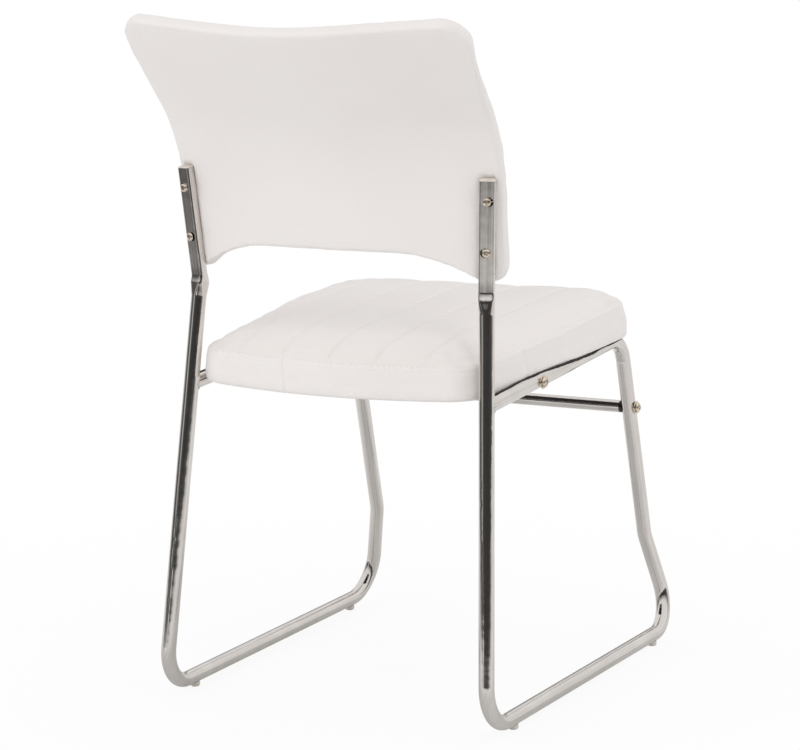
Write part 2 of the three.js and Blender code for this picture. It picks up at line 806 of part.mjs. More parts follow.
function seatTop(h, v) {
  const forwardShare = (v + 1) / 2;
  const dome = (1 - h ** crownPower) * (1 - v ** crownPower);
  const phase = Math.abs(h) * seatPanels / 2 % 1;
  const between = Math.sin(Math.PI * phase);
  const seam = h === 0 || (phase === 0 && Math.abs(h) < 1) ? channelDepth : 0;
  const waterfall = Math.max(0, 1 - (1 - forwardShare) * seatLength / waterfallLength);
  const quilt = (seatPuff * Math.sqrt(between) - seam) * Math.min(1, dome * quiltFade);
  return borderHeight + seatCrown * dome + quilt - waterfallDrop * waterfall ** 2;
}

function seatEdge(offset) {
  return (h, v) => seatTop(h, v) - offset;
}

const seatBottom = () => -seatLip;
const sideRoll = seatEdgeInset / 2;
const borderRoll = seatEdgeInset + sideRoll;

function seatBody() {
  return panelSolid({
    columns: seatColumns(),
    rows: seatRows,
    outline: seatOutline,
    faceInset: seatEdgeInset,
    low: seatBottom,
    high: seatTop,
    rim: [
      [sideRoll, seatBottom],
      [0, () => -seatLip + sideRoll],
      [-sideRoll / 2, () => borderHeight / 2],
      [0, seatEdge(borderRoll)],
      [sideRoll, seatEdge(sideRoll)],
    ],
    toSpace: (place, depth) => new THREE.Vector3(place.x, place.y, depth),
  });
}

function seatSheet(distance, bottom, thickness) {
  const { inset } = panelLoop(seatColumns(), seatRows, seatOutline);
  const shape = new THREE.Shape(inset(distance));
  const geometry = new THREE.ExtrudeGeometry(shape, { depth: thickness, bevelEnabled: false });
  return toSolid(geometry.translate(0, 0, bottom));
}

const coverBottom = seatGap;
const boardBottom = coverBottom + dustCoverThickness + seatGap;
const boardTop = boardBottom + boardThickness;

const seatScrewSpots = sides.flatMap(({ label, sign }) => [
  { place: `rear_${label}`, point: seatPointOnRail(sign, rearTabShare, tabReach - tabHoleInset) },
  { place: `front_${label}`, point: seatPointOnRail(sign, frontTabShare, tabReach - tabHoleInset) },
]);

function uprightBorer(point, from, to, radius) {
  const low = new THREE.Vector3(point.x, point.y, from);
  const high = new THREE.Vector3(point.x, point.y, to);
  return borer(low, high, radius);
}

let seatCushion = seatBody();
const recessFloor = -seatLip - overrun;
const recess = seatSheet(seatBoardInset - bedGap, recessFloor, boardTop + seatGap - recessFloor);
seatCushion = seatCushion.subtract(recess);
let seatBoard = seatSheet(seatBoardInset, boardBottom, boardThickness);
let dustCover = seatSheet(dustCoverInset, coverBottom, dustCoverThickness);
for (const { sign } of sides) {
  for (const share of tabShares) {
    const spot = seatPointOnRail(sign, share, tabReach / 2);
    const depth = seatLip + overrun;
    const notch = new THREE.BoxGeometry(tabReach, tabLength + bedGap * 2, depth * 2);
    notch.translate(spot.x, spot.y, seatGap - depth);
    seatCushion = seatCushion.subtract(toSolid(notch));
  }
}
const nutTop = boardTop + seatGap + teeNut.flangeThickness;
const screwTop = seatScrew.length - tabThickness - seatGap;
for (const { place, point } of seatScrewSpots) {
  const flange = teeNut.flange / 2 + bedGap;
  const barrel = teeNut.barrel / 2 + threadClearance;
  const shank = seatScrew.shank / 2 + holeClearance;
  seatCushion = seatCushion.subtract(uprightBorer(point, 0, nutTop + bedGap, flange));
  seatCushion = seatCushion.subtract(uprightBorer(point, 0, Math.max(nutTop, screwTop) + bedGap, shank));
  seatBoard = seatBoard.subtract(uprightBorer(point, 0, boardTop + overrun, barrel));
  dustCover = dustCover.subtract(uprightBorer(point, -overrun, boardBottom, shank));
  const nut = addPiece(`seat_tee_nut_${place}`, flangedNut(seatScrew.shank), zinc, seatGroup);
  nut.position.set(point.x, point.y, boardTop + seatGap);
  const screw = addPiece(`seat_screw_${place}`, crossHeadScrew(seatScrew), zinc, seatGroup);
  screw.position.set(point.x, point.y, -tabThickness - seatGap);
  screw.rotation.x = Math.PI;
}
const intoSeatFrame = seatGroup.matrix.clone().invert();
for (const { sign } of sides) {
  const end = railEnd(sign);
  const beadEnd = stepped(end, directionFrom(end, cornerPoint(railFront, sign)), tubeDiameter + bedGap);
  let bed = sweepTube(framePath(sign, 0, tubeRadius + weldLeg), sign, -bedGap, tubeCornerFacets);
  bed = bed.add(borer(end, beadEnd, tubeRadius + weldLeg / 2 + bedGap, roundSides));
  seatCushion = seatCushion.subtract(toSolid(toGeometry(bed).applyMatrix4(intoSeatFrame)));
}
addPiece('seat_cushion', seatCushion, whiteCover, seatGroup);
addPiece('seat_board', seatBoard, plywood, seatGroup);
addPiece('seat_dust_cover', dustCover, blackCloth, seatGroup);

// Back

const lean = uprightFrame(1).down;
const leanAngle = Math.atan2(-lean.y, -lean.z);
const flareStart = stepped(cornerPoint(uprightTop, 1), lean, flareStartDrop);
const backLowerWidth = uprightTop.spacing + backSideOverhang * 2;
const backTopWidth = backLowerWidth + backTopSpread * 2;
const contactShare = uprightTop.spacing / backLowerWidth;

// The side edge stands forward of the flats by what the wrap takes back at the uprights
const edgeForward = -flareStart.y + flatDepth / 2 + seatGap + backWrap * (1 - contactShare ** 2);

// The rear face's side profile: parallel to the uprights, an arc to the rear, then straight
function backProfile(rise) {
  const arcLength = flareRadius * flareAngle;
  const turn = THREE.MathUtils.clamp(rise / flareRadius, 0, flareAngle);
  const below = Math.min(rise, 0);
  const above = Math.max(rise - arcLength, 0);
  const tilt = leanAngle + turn;
  const forward = edgeForward
    - flareRadius * (Math.cos(leanAngle) - Math.cos(tilt))
    - below * Math.sin(leanAngle)
    - above * Math.sin(tilt);
  const height = flareStart.z
    + flareRadius * (Math.sin(tilt) - Math.sin(leanAngle))
    + below * Math.cos(leanAngle)
    + above * Math.cos(tilt);
  return { forward, height, tilt };
}

// How far above the start of the flare a height lies, measured along the profile
function riseTo(height) {
  const over = height - flareStart.z;
  if (over < 0) return over / Math.cos(leanAngle);
  const turn = Math.asin(Math.min(1, Math.sin(leanAngle) + over / flareRadius)) - leanAngle;
  if (turn < flareAngle) return turn * flareRadius;
  const arcLength = flareRadius * flareAngle;
  const arcTop = backProfile(arcLength);
  return arcLength + (height - arcTop.height) / Math.cos(arcTop.tilt);
}

const backFoot = riseTo(aboveRail(backEarShare));
const backHead = riseTo(aboveRail(backTopShare));
const backArchTop = riseTo(aboveRail(backArchShare));

function backHalfWidth(rise) {
  const share = (rise - backFoot) / (backHead - backFoot);
  return THREE.MathUtils.lerp(backLowerWidth, backTopWidth, share ** 2) / 2;
}

// The rises of the lower and upper edges at a place across the back
function backSpan(h) {
  const lowerHalf = backLowerWidth / 2;
  const upperHalf = backTopWidth / 2;
  const archRun = Math.max(0, Math.abs(h) * lowerHalf - backArchFlat) / (lowerHalf - backArchFlat);
  const bottom = backArchTop - (backArchTop - backFoot) * Math.min(1, archRun / backEarReachShare) ** 2
    + cornerDraw(h * lowerHalf, lowerHalf, backEarRadius);
  const crest = backTopRise * (1 - (1 - h * h) ** 2) / Math.cos(leanAngle + flareAngle);
  const top = backHead + crest - cornerDraw(h * upperHalf, upperHalf, backTopCornerRadius);
  return { bottom, top };
}

// Rows run from -1 to 0 below the flare, from 0 to 1 round its arc and from 1 to 2 above it
function backRise(h, v) {
  const { bottom, top } = backSpan(h);
  const arcLength = flareRadius * flareAngle;
  if (v < 0) return THREE.MathUtils.lerp(bottom, 0, v + 1);
  if (v < 1) return v * arcLength;
  return THREE.MathUtils.lerp(arcLength, top, v - 1);
}

function backOutline(h, v) {
  const rise = backRise(h, v);
  return new THREE.Vector2(h * backHalfWidth(rise), rise);
}

// A point at a depth in front of the rear face
function backSpace(place, depth) {
  const { forward, height, tilt } = backProfile(place.y);
  const sideShare = place.x / (backLowerWidth / 2);
  const lateral = Math.atan(2 * backWrap * sideShare / (backLowerWidth / 2));
  const middle = forward - backWrap * (1 - sideShare ** 2);
  return new THREE.Vector3(
    place.x - depth * Math.sin(lateral),
    -(middle + depth * Math.cos(tilt) * Math.cos(lateral)),
    height + depth * Math.sin(tilt) * Math.cos(lateral),
  );
}

const backColumns = [-1, -0.95, -0.86, -0.68, -0.46, -0.23, 0, 0.23, 0.46, 0.68, 0.86, 0.95, 1];
const backRows = [-1, -0.8, -0.4, 0, 0.25, 0.5, 0.75, 1, 1.35, 1.75, 1.94, 2];

function backFront(h, v) {
  const { bottom, top } = backSpan(h);
  const share = (backRise(h, v) - bottom) / (top - bottom);
  const fromMiddle = Math.abs(share * 2 - 1);
  const fullness = (1 - Math.abs(h) ** fullnessPower) * (1 - fromMiddle ** fullnessPower);
  return backEdgeThickness + (backThickness - backEdgeThickness) * Math.sqrt(Math.max(0, fullness));
}

function backBody() {
  const roll = backEdgeInset / 2;
  return panelSolid({
    columns: backColumns,
    rows: backRows,
    outline: backOutline,
    faceInset: backEdgeInset,
    low: () => 0,
    high: backFront,
    rim: [
      [roll / 2, () => roll / 2],
      [0, () => backEdgeInset],
      [0, () => backEdgeThickness - backEdgeInset],
      [roll / 2, () => backEdgeThickness - roll / 2],
    ],
    toSpace: backSpace,
  });
}

const boardColumns = [-1, -0.92, -0.76, -0.5, -0.25, 0, 0.25, 0.5, 0.76, 0.92, 1];
const boardRows = [-1, 0, 0.25, 0.5, 0.75, 1, 2];

function boardSolid(grow) {
  const depthLow = () => backBoardDepth - grow;
  const depthHigh = () => backBoardDepth + backBoardThickness + grow;
  const { inset, loop } = panelLoop(boardColumns, boardRows, backOutline);
  const places = new Map(inset(backBoardInset - grow).map((place, k) => [`${loop[k]}`, place]));
  const outline = (h, v) => {
    const key = `${boardColumns.indexOf(h)},${boardRows.indexOf(v)}`;
    return places.get(key)?.clone() ?? backOutline(h, v);
  };
  return panelSolid({
    columns: boardColumns,
    rows: boardRows,
    outline,
    faceInset: 0,
    low: depthLow,
    high: depthHigh,
    rim: [],
    toSpace: backSpace,
  });
}

let backCushion = backBody().subtract(boardSolid(bedGap));
let backBoard = boardSolid(0);

for (const { label, sign } of sides) {
  const { rearward } = uprightFrame(sign);
  const plugTop = plugRim + plugRise + overrun;
  const bed = framePath(sign, plugTop, tubeRadius + weldLeg);
  backCushion = backCushion.subtract(sweepTube(bed, sign, -bedGap, tubeCornerFacets));
  for (const { level, share } of screwSpots) {
    const place = `${level}_${label}`;
    const axis = screwPoint(sign, share);
    const flatFace = flatDepth / 2;
    const headSeat = stepped(axis, rearward, flatFace + seatGap);
    const tip = stepped(headSeat, rearward, -backScrew.length - overrun / 2);
    const onRearFace = new THREE.Vector2(axis.x, riseTo(axis.z));
    const onBoard = backSpace(onRearFace, backBoardDepth + backBoardThickness);
    const nutSeat = stepped(axis, rearward, -axis.clone().sub(onBoard).dot(rearward));
    const nutFront = stepped(nutSeat, rearward, -teeNut.flangeThickness - bedGap);
    const nutRear = stepped(nutSeat, rearward, bedGap);
    const shankHole = backScrew.shank / 2 + holeClearance;
    backCushion = backCushion.subtract(borer(tip, headSeat, shankHole));
    backCushion = backCushion.subtract(borer(nutFront, nutRear, teeNut.flange / 2 + bedGap));
    const barrelHole = teeNut.barrel / 2 + threadClearance;
    backBoard = backBoard.subtract(borer(stepped(nutSeat, rearward, -overrun), headSeat, barrelHole));
    const facing = stepped(nutSeat, rearward, -overrun);
    backBoard = backBoard.subtract(borer(facing, nutRear, teeNut.flange / 2 + bedGap));
    const nut = addPiece(`back_tee_nut_${place}`, flangedNut(backScrew.shank), zinc);
    const forward = rearward.clone().negate();
    aim(nut, nutSeat, forward);
    const screw = addPiece(`back_screw_${place}`, crossHeadScrew(backScrew), nickel);
    aim(screw, headSeat, rearward);
  }
}
addPiece('back_cushion', backCushion, whiteCover);
addPiece('back_board', backBoard, plywood);

// The floor under the middle of the chair's outline is the origin
const outlineBox = new THREE.Box3().setFromObject(chair);
const middle = outlineBox.getCenter(new THREE.Vector3());
chair.position.set(-middle.x, -middle.y, -outlineBox.min.z);

export default chair;
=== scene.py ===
import math

import bmesh
import bpy
import numpy as np
from mathutils import Matrix, Vector, noise
from mathutils.bvhtree import BVHTree
from mathutils.kdtree import KDTree


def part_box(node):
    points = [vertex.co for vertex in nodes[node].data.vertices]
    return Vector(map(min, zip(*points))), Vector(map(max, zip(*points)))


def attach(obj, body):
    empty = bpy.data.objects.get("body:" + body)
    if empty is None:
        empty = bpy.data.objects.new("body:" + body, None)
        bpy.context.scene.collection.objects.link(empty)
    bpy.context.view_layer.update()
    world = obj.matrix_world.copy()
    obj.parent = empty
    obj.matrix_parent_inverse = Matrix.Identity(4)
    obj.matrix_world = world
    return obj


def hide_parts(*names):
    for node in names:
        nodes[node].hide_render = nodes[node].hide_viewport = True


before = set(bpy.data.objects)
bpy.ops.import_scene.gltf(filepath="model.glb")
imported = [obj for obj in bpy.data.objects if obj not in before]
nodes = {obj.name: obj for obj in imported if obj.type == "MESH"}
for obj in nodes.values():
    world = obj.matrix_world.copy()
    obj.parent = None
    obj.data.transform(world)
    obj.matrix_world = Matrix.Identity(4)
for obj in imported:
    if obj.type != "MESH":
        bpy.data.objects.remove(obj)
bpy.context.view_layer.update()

scene = bpy.context.scene
millimetre = 0.001
sides = (("right", -1), ("left", 1))
ends = ("rear", "front")
print("frame loaded,", len(nodes), "nodes")


def unit(v):
    return v / np.linalg.norm(v)


def between(first, second, share):
    return first + (second - first) * share


def circle(count, across, up):
    angles = np.arange(count) / count * math.tau
    return np.cos(angles)[:, None] * across + np.sin(angles)[:, None] * up


def setAll(target, values):
    for key, value in values.items():
        setattr(target, key, value)


def placed(name, data):
    obj = bpy.data.objects.new(name, data)
    scene.collection.objects.link(obj)
    return obj


def smoothed(obj, sharpDegrees):
    obj.data.shade_smooth()
    obj.data.set_sharp_from_angle(angle=math.radians(sharpDegrees))
    return obj


def meshFrom(name, points, faces, smoothAngle=40):
    # points in millimetres
    mesh = bpy.data.meshes.new(name)
    mesh.from_pydata([tuple(p) for p in np.asarray(points) * millimetre], [], faces)
    mesh.validate()
    return smoothed(placed(name, mesh), smoothAngle)


def loftFaces(ringCount, perRing, closedEnds=True, firstIndex=0):
    faces = []
    for i in range(ringCount - 1):
        for k in range(perRing):
            a = firstIndex + i * perRing + k
            b = firstIndex + i * perRing + (k + 1) % perRing
            faces.append((a, b, b + perRing, a + perRing))
    if closedEnds:
        faces.append(tuple(firstIndex + k for k in reversed(range(perRing))))
        last = firstIndex + (ringCount - 1) * perRing
        faces.append(tuple(last + k for k in range(perRing)))
    return faces


def hoopFaces(ringCount, perRing):
    # the last ring joins the first
    count = ringCount * perRing
    return [tuple(v % count for v in face) for face in loftFaces(ringCount + 1, perRing, False)]


def treeOf(points):
    tree = KDTree(len(points))
    for i, point in enumerate(points):
        tree.insert(point, i)
    tree.balance()
    return tree


def outwards(obj):
    mesh = bmesh.new()
    mesh.from_mesh(obj.data)
    bmesh.ops.recalc_face_normals(mesh, faces=mesh.faces)
    mesh.to_mesh(obj.data)
    mesh.free()
    return obj


def evaluatedCopy(obj, name):
    # the object's result with its modifiers, as a plain mesh object
    graph = bpy.context.evaluated_depsgraph_get()
    return placed(name, bpy.data.meshes.new_from_object(obj.evaluated_get(graph)))


def drop(obj):
    bpy.data.objects.remove(obj, do_unlink=True)


def coordinates(obj):
    flat = np.empty(len(obj.data.vertices) * 3)
    obj.data.vertices.foreach_get("co", flat)
    return flat.reshape(-1, 3)


def setCoordinates(obj, co):
    obj.data.vertices.foreach_set("co", np.ascontiguousarray(co, dtype=np.float64).ravel())
    obj.data.update()


def joined(name, parts):
    mesh = bmesh.new()
    for part in parts:
        mesh.from_mesh(part.data)
    data = bpy.data.meshes.new(name)
    mesh.to_mesh(data)
    mesh.free()
    for part in parts:
        drop(part)
    return placed(name, data)


def finishPiece(obj, look, slot, *replaced):
    if look is not None:
        obj.data.materials.clear()
        obj.data.materials.append(look)
    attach(obj, "root")
    if replaced:
        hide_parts(*replaced)
    return obj


class Value:
    # a shader socket whose sums and products add their Math nodes
    def __init__(self, look, socket):
        self.look = look
        self.socket = socket

    def maths(self, operation, *others):
        return self.look.node("Math", {"operation": operation}, [self, *others])

    def __add__(self, other):
        return self.maths("ADD", other)

    def __radd__(self, other):
        return self.maths("ADD", other)

    def __sub__(self, other):
        return self.maths("SUBTRACT", other)

    def __rsub__(self, other):
        return self.look.node("Math", {"operation": "SUBTRACT"}, [other, self])

    def __mul__(self, other):
        return self.maths("MULTIPLY", other)

    def __rmul__(self, other):
        return self.maths("MULTIPLY", other)

    def __truediv__(self, other):
        return self.maths("DIVIDE", other)

    def __pow__(self, other):
        return self.maths("POWER", other)


class Look:
    # one node material, or the world
    def __init__(self, name, owner=None):
        self.owner = owner or bpy.data.materials.new(name)
        self.owner.use_nodes = True
        self.tree = self.owner.node_tree
        self.tree.nodes.clear()

    def node(self, kind, settings=None, inputs=None, output=0):
        made = self.tree.nodes.new("ShaderNode" + kind)
        for key, value in (settings or {}).items():
            if key == "stops":
                self.setStops(made.color_ramp, value)
            else:
                setattr(made, key, value)
        for key, value in inputs.items() if isinstance(inputs, dict) else enumerate(inputs or []):
            if isinstance(value, Value):
                self.tree.links.new(value.socket, made.inputs[key])
            else:
                made.inputs[key].default_value = value
        return Value(self, made.outputs[output]) if made.outputs else made

    def setStops(self, ramp, stops):
        while len(ramp.elements) < len(stops):
            ramp.elements.new(0.5)
        for element, (position, colour) in zip(ramp.elements, stops):
            element.position = position
            element.color = colour

    def objectPlace(self):
        return self.node("TexCoord", output="Object")

    def stretched(self, scale):
        return self.node("Mapping", {"vector_type": "POINT"}, {"Vector": self.objectPlace(), "Scale": scale})

    def grain(self, place, scale, detail=2.0, roughness=0.5):
        return self.node("TexNoise", {"noise_dimensions": "3D"},
                         {"Vector": place, "Scale": scale, "Detail": detail, "Roughness": roughness})

    def ranged(self, value, low, high, newLow=0.0, newHigh=1.0):
        return self.node("MapRange", {"clamp": True},
                         {"Value": value, "From Min": low, "From Max": high, "To Min": newLow, "To Max": newHigh})

    def blended(self, factor, first, second):
        return self.node("Mix", {"data_type": "RGBA"}, {0: factor, 6: first, 7: second}, 2)

    def bumped(self, height, strength, distance, normal=None):
        inputs = {"Height": height, "Strength": strength, "Distance": distance}
        if normal is not None:
            inputs["Normal"] = normal
        return self.node("Bump", None, inputs)

    def surface(self, inputs):
        shader = self.node("BsdfPrincipled", None, inputs)
        self.node("OutputMaterial", None, {"Surface": shader})
        return self.owner


def colour(red, green, blue):
    return (red, green, blue, 1.0)


# the camera, solved from the photograph
cameraPlan = {
    "place": (-1761.67, 3373.29, 1077.09),     # millimetres
    "forward": (0.45965, -0.87198, -0.16844),
    "roll": -0.86,                             # degrees
    "frame": (800, 750),                       # pixels that the next two are measured in
    "focal": 3039.0,
    "centre": (392.0, 350.1),                  # optical centre
    "sensor": 36.0,
}


def addCamera():
    data = bpy.data.cameras.new("photoCamera")
    camera = placed("photoCamera", data)
    forward = unit(np.array(cameraPlan["forward"]))
    right = unit(np.cross(forward, (0, 0, 1)))
    up = np.cross(right, forward)
    turn = math.radians(cameraPlan["roll"])
    tiltedRight = right * math.cos(turn) + up * math.sin(turn)
    tiltedUp = up * math.cos(turn) - right * math.sin(turn)
    pose = Matrix.Identity(4)
    for row in range(3):
        pose[row][0] = tiltedRight[row]
        pose[row][1] = tiltedUp[row]
        pose[row][2] = -forward[row]
        pose[row][3] = cameraPlan["place"][row] * millimetre
    camera.matrix_world = pose
    across, down = cameraPlan["frame"]
    data.sensor_width = cameraPlan["sensor"]
    data.lens = cameraPlan["focal"] / across * cameraPlan["sensor"]
    data.shift_x = (across / 2 - cameraPlan["centre"][0]) / across
    data.shift_y = (cameraPlan["centre"][1] - down / 2) / across
    data.clip_end = 50
    scene.camera = camera


addCamera()
scene.view_settings.view_transform = "Standard"
print("camera placed")


# floor, surroundings and lamps
studio = {
    "floorSize": 14.0,             # metres
    "floorWhite": 0.86,            # diffuse colour of the floor
    "cameraWhite": 0.91,           # share of plain white that the camera sees on the floor by the chair
    "ambient": 0.905,              # light from all round
}
# name, power, size, place
lamps = (
    ("keyLamp", 8.5, 0.8, (-1.9, 1.45, 2.5)),
    ("fillLamp", 14.0, 2.0, (1.6, 2.4, 1.4)),
    ("frontLamp", 10.0, 2.0, (-0.8, -2.6, 2.0)),
)
lampAim = Vector((0, 0, 0.5))

# what metal sees round the room: degrees to the photographer's left, and brightness
roomTones = (
    (-178, 0.25), (-150, 0.75), (-120, 0.78), (-92, 0.38), (-68, 0.07), (-20, 0.04), (43, 0.05), (57, 0.12),
    (66, 0.50), (74, 0.42), (84, 0.11), (100, 0.09), (122, 0.34), (140, 0.80), (162, 0.75), (178, 0.25),
)


def rayKinds(look):
    path = look.tree.nodes.new("ShaderNodeLightPath")
    return [Value(look, path.outputs[kind]) for kind in ("Is Camera Ray", "Is Glossy Ray")]


def bearing(look, place):
    # a place or direction as degrees to the photographer's left, and its height;
    # towards the photographer is one way along a level axis, the backdrop the other
    split = look.tree.nodes.new("ShaderNodeSeparateXYZ")
    look.tree.links.new(place.socket, split.inputs[0])
    east, north, height = (Value(look, socket) for socket in split.outputs)
    facing = east * -0.466 + north * 0.885
    sideways = east * 0.885 + north * 0.466
    return sideways.maths("ARCTAN2", facing) * math.degrees(1), height


def addFloor():
    half = studio["floorSize"] / 2
    corners = [(-half, -half, 0), (half, -half, 0), (half, half, 0), (-half, half, 0)]
    floor = meshFrom("studioFloor", np.array(corners) * 1000, [(0, 1, 2, 3)])
    look = Look("studioFloorLook")
    seen, mirrored = rayKinds(look)
    distance = look.node("VectorMath", {"operation": "LENGTH"}, [look.objectPlace()], "Value")
    turn, _ = bearing(look, look.objectPlace())
    # what metal sees, a glowing tone painted on the floor: darker far off, with a few bands, painted lamp highlights,
    # and a painted shadow close under the chair
    bands = look.grain(look.node("CombineXYZ", None, [turn * 0.16, 0.0, 0.0]), 1.0, 2.0)
    bands = look.ranged(bands, 0.38, 0.62, 0.4, 0.0) * look.ranged(distance, 2.2, 3.2, 1.0, 0.0)
    reach = distance + look.ranged((turn - 79).maths("ABSOLUTE"), 3, 24, 1.1, 0.0)
    far = look.ranged(reach, 1.1, 2.6, 0.0, 0.9) * look.ranged(turn, -75, -45) * look.ranged(turn, 104, 136, 1.0, 0.0)
    # painted lamp highlights far off, seen only in reflections
    paintedGlints = look.ranged((turn - 42).maths("ABSOLUTE"), 4, 8, 1.0, 0.0) * look.ranged(distance, 2.4, 2.9)
    far = far * (1 - paintedGlints) * (1 - bands)
    bare = look.ranged(distance, 0.45, 1.3, studio["cameraWhite"], 1.0)
    white = studio["floorWhite"]
    plain = look.node("BsdfDiffuse", None, {"Color": colour(white, white, white)})
    shine = look.node("Emission", None, {"Color": colour(1, 1, 1), "Strength": 1.0})
    # painted shadow under the chair, seen only in reflections
    outsidePaintedShadow = look.ranged(distance, 0.2, 0.8)
    near = look.blended(outsidePaintedShadow, colour(0.42, 0.415, 0.405), colour(0.80, 0.795, 0.785))
    tone = look.blended(far, near, colour(0, 0, 0))
    paintedMirrorTone = look.node("Emission", None, {"Color": tone, "Strength": 1.0})
    gleam = look.node("MixShader", None, [look.ranged(distance, 0.5, 1.2, 0.62, 1.0), plain, paintedMirrorTone])
    shown = look.node("MixShader", None, [seen * bare, plain, shine])
    whole = look.node("MixShader", None, [mirrored, shown, gleam])
    look.node("OutputMaterial", None, {"Surface": whole})
    floor.data.materials.append(look.owner)


def addSurroundings():
    world = bpy.data.worlds.new("studioWorld")
    scene.world = world
    look = Look("studioWorld", world)
    seen, mirrored = rayKinds(look)
    turn, height = bearing(look, look.node("TexCoord", output="Generated"))
    around = turn / 360 + 0.5
    stops = [(0.5 + degrees / 360, colour(tone, tone, tone)) for degrees, tone in roomTones]
    walls = look.node("ValToRGB", {"stops": stops}, {"Fac": around})
    room = look.blended(look.ranged(height, 0.16, 0.42), walls, colour(0.84, 0.835, 0.83))
    plain, white, metal = (
        look.node("Background", None, {"Color": tone, "Strength": strength})
        for tone, strength in ((colour(0.99, 0.995, 1.0), studio["ambient"]), (colour(1, 1, 1), 1.0), (room, 1.0)))
    first = look.node("MixShader", None, [seen, plain, white])
    second = look.node("MixShader", None, [mirrored, first, metal])
    look.node("OutputWorld", None, {"Surface": second})


def addLamp(name, power, size, place):
    data = bpy.data.lights.new(name, "AREA")
    setAll(data, {"energy": power, "shape": "DISK", "size": size})
    lamp = placed(name, data)
    lamp.location = place
    lamp.rotation_euler = (lampAim - Vector(place)).to_track_quat("-Z", "Y").to_euler()
    lamp.visible_glossy = False


addFloor()
addSurroundings()
for lamp in lamps:
    addLamp(*lamp)
print("studio set")


def chromeLook():
    look = Look("polishedChrome")
    smudge = look.grain(look.stretched((9, 9, 5)), 3.0, 3.0)
    mark = look.node("Attribute", {"attribute_name": "drawing", "attribute_type": "GEOMETRY"}, None, 1)
    lines = look.node("VectorMath", {"operation": "MULTIPLY"}, [mark, (1.0, 1.0, 0.012)])
    scratch = look.grain(lines, 2.4, 4.0, 0.6)
    waves = look.grain(look.objectPlace(), 55.0, 1.0) * 0.4 + look.grain(look.objectPlace(), 17.0, 1.0)
    roughness = look.ranged(smudge, 0.35, 0.7, 0.06, 0.12) + look.ranged(scratch, 0.55, 0.8, 0.0, 0.1)
    tone = look.blended(look.ranged(smudge, 0.3, 0.75), colour(0.84, 0.802, 0.768), colour(0.74, 0.70, 0.668))
    # painted reflection: darker streaks along the tube
    paintedStreaks = look.grain(lines, 0.75, 2.0, 0.5)
    tone = look.blended(look.ranged(paintedStreaks, 0.45, 0.68, 0.0, 0.32), tone, colour(0.45, 0.425, 0.40))
    normal = look.bumped(waves, 0.16, 0.004)
    return look.surface({"Base Color": tone, "Metallic": 1.0, "Roughness": roughness, "Normal": normal})


def screwLook(name, bright, dull, base):
    look = Look(name)
    tarnish = look.grain(look.objectPlace(), 260.0, 3.0)
    rings = look.grain(look.objectPlace(), 900.0, 2.0)
    tone = look.blended(look.ranged(tarnish, 0.35, 0.68), bright, dull)
    roughness = look.ranged(tarnish, 0.3, 0.75, base, base + 0.18)
    normal = look.bumped(rings, 0.12, 0.0004)
    return look.surface({"Base Color": tone, "Metallic": 1.0, "Roughness": roughness, "Normal": normal})


def leatheretteLook():
    look = Look("whiteLeatherette")
    place = look.objectPlace()
    pebble = look.node("TexVoronoi", {"feature": "DISTANCE_TO_EDGE"}, {"Vector": place, "Scale": 620.0})
    crease = look.ranged(pebble, 0.0, 0.12)
    fine = look.grain(place, 1500.0, 2.0)
    soft = look.grain(place, 26.0, 2.0)
    cloud = look.grain(place, 5.0, 2.0)
    creamy = look.blended(look.ranged(cloud, 0.3, 0.72), colour(0.83, 0.792, 0.766), colour(0.805, 0.762, 0.738))
    # painted shade: the grain's creases darker
    tone = look.blended(crease * 0.35 + 0.65, colour(0.71, 0.665, 0.64), creamy)
    grained = look.bumped(crease * 0.7 + fine * 0.3, 0.16, 0.0004)
    normal = look.bumped(soft, 0.1, 0.004, grained)
    roughness = look.ranged(soft, 0.3, 0.7, 0.42, 0.52) + (1 - crease) * 0.06
    return look.surface({"Base Color": tone, "Roughness": roughness, "Normal": normal,
                         "Specular IOR Level": 0.42, "Sheen Weight": 0.08, "Sheen Roughness": 0.4})


def threadLook():
    look = Look("sewingThread")
    place = look.stretched((1400, 1400, 1400))
    twist = look.grain(place, 1.0, 2.0)
    tone = look.blended(look.ranged(twist, 0.3, 0.7), colour(0.68, 0.655, 0.635), colour(0.82, 0.80, 0.78))
    normal = look.bumped(twist, 0.3, 0.0002)
    return look.surface({"Base Color": tone, "Roughness": 0.6, "Normal": normal})


def blackClothLook():
    look = Look("blackUnderCloth")
    fibres = look.grain(look.stretched((500, 160, 500)), 3.0, 4.0, 0.7)
    pits = look.node("TexVoronoi", {"feature": "F1"}, {"Vector": look.objectPlace(), "Scale": 420.0})
    tone = look.blended(look.ranged(fibres, 0.35, 0.7), colour(0.012, 0.012, 0.013), colour(0.035, 0.034, 0.034))
    normal = look.bumped(fibres * 0.6 + pits * 0.4, 0.35, 0.0006)
    return look.surface({"Base Color": tone, "Roughness": 0.9, "Normal": normal})


def plywoodLook():
    look = Look("rawPlywood")
    rings = look.grain(look.stretched((10, 90, 160)), 1.6, 5.0, 0.6)
    pores = look.grain(look.stretched((160, 900, 900)), 2.0, 2.0)
    tone = look.node("ValToRGB", {"stops": [(0.32, colour(0.42, 0.25, 0.12)), (0.5, colour(0.56, 0.37, 0.2)),
                                            (0.7, colour(0.66, 0.47, 0.28))]}, {"Fac": rings})
    normal = look.bumped(pores, 0.25, 0.0005)
    return look.surface({"Base Color": tone, "Roughness": 0.68, "Normal": normal})


def plasticLook(name, first, second, base):
    look = Look(name)
    mould = look.grain(look.objectPlace(), 700.0, 2.0)
    wear = look.grain(look.objectPlace(), 90.0, 3.0)
    tone = look.blended(look.ranged(wear, 0.35, 0.7), first, second)
    normal = look.bumped(mould, 0.14, 0.0004)
    roughness = look.ranged(wear, 0.3, 0.7, base, base + 0.14)
    return look.surface({"Base Color": tone, "Roughness": roughness, "Normal": normal})


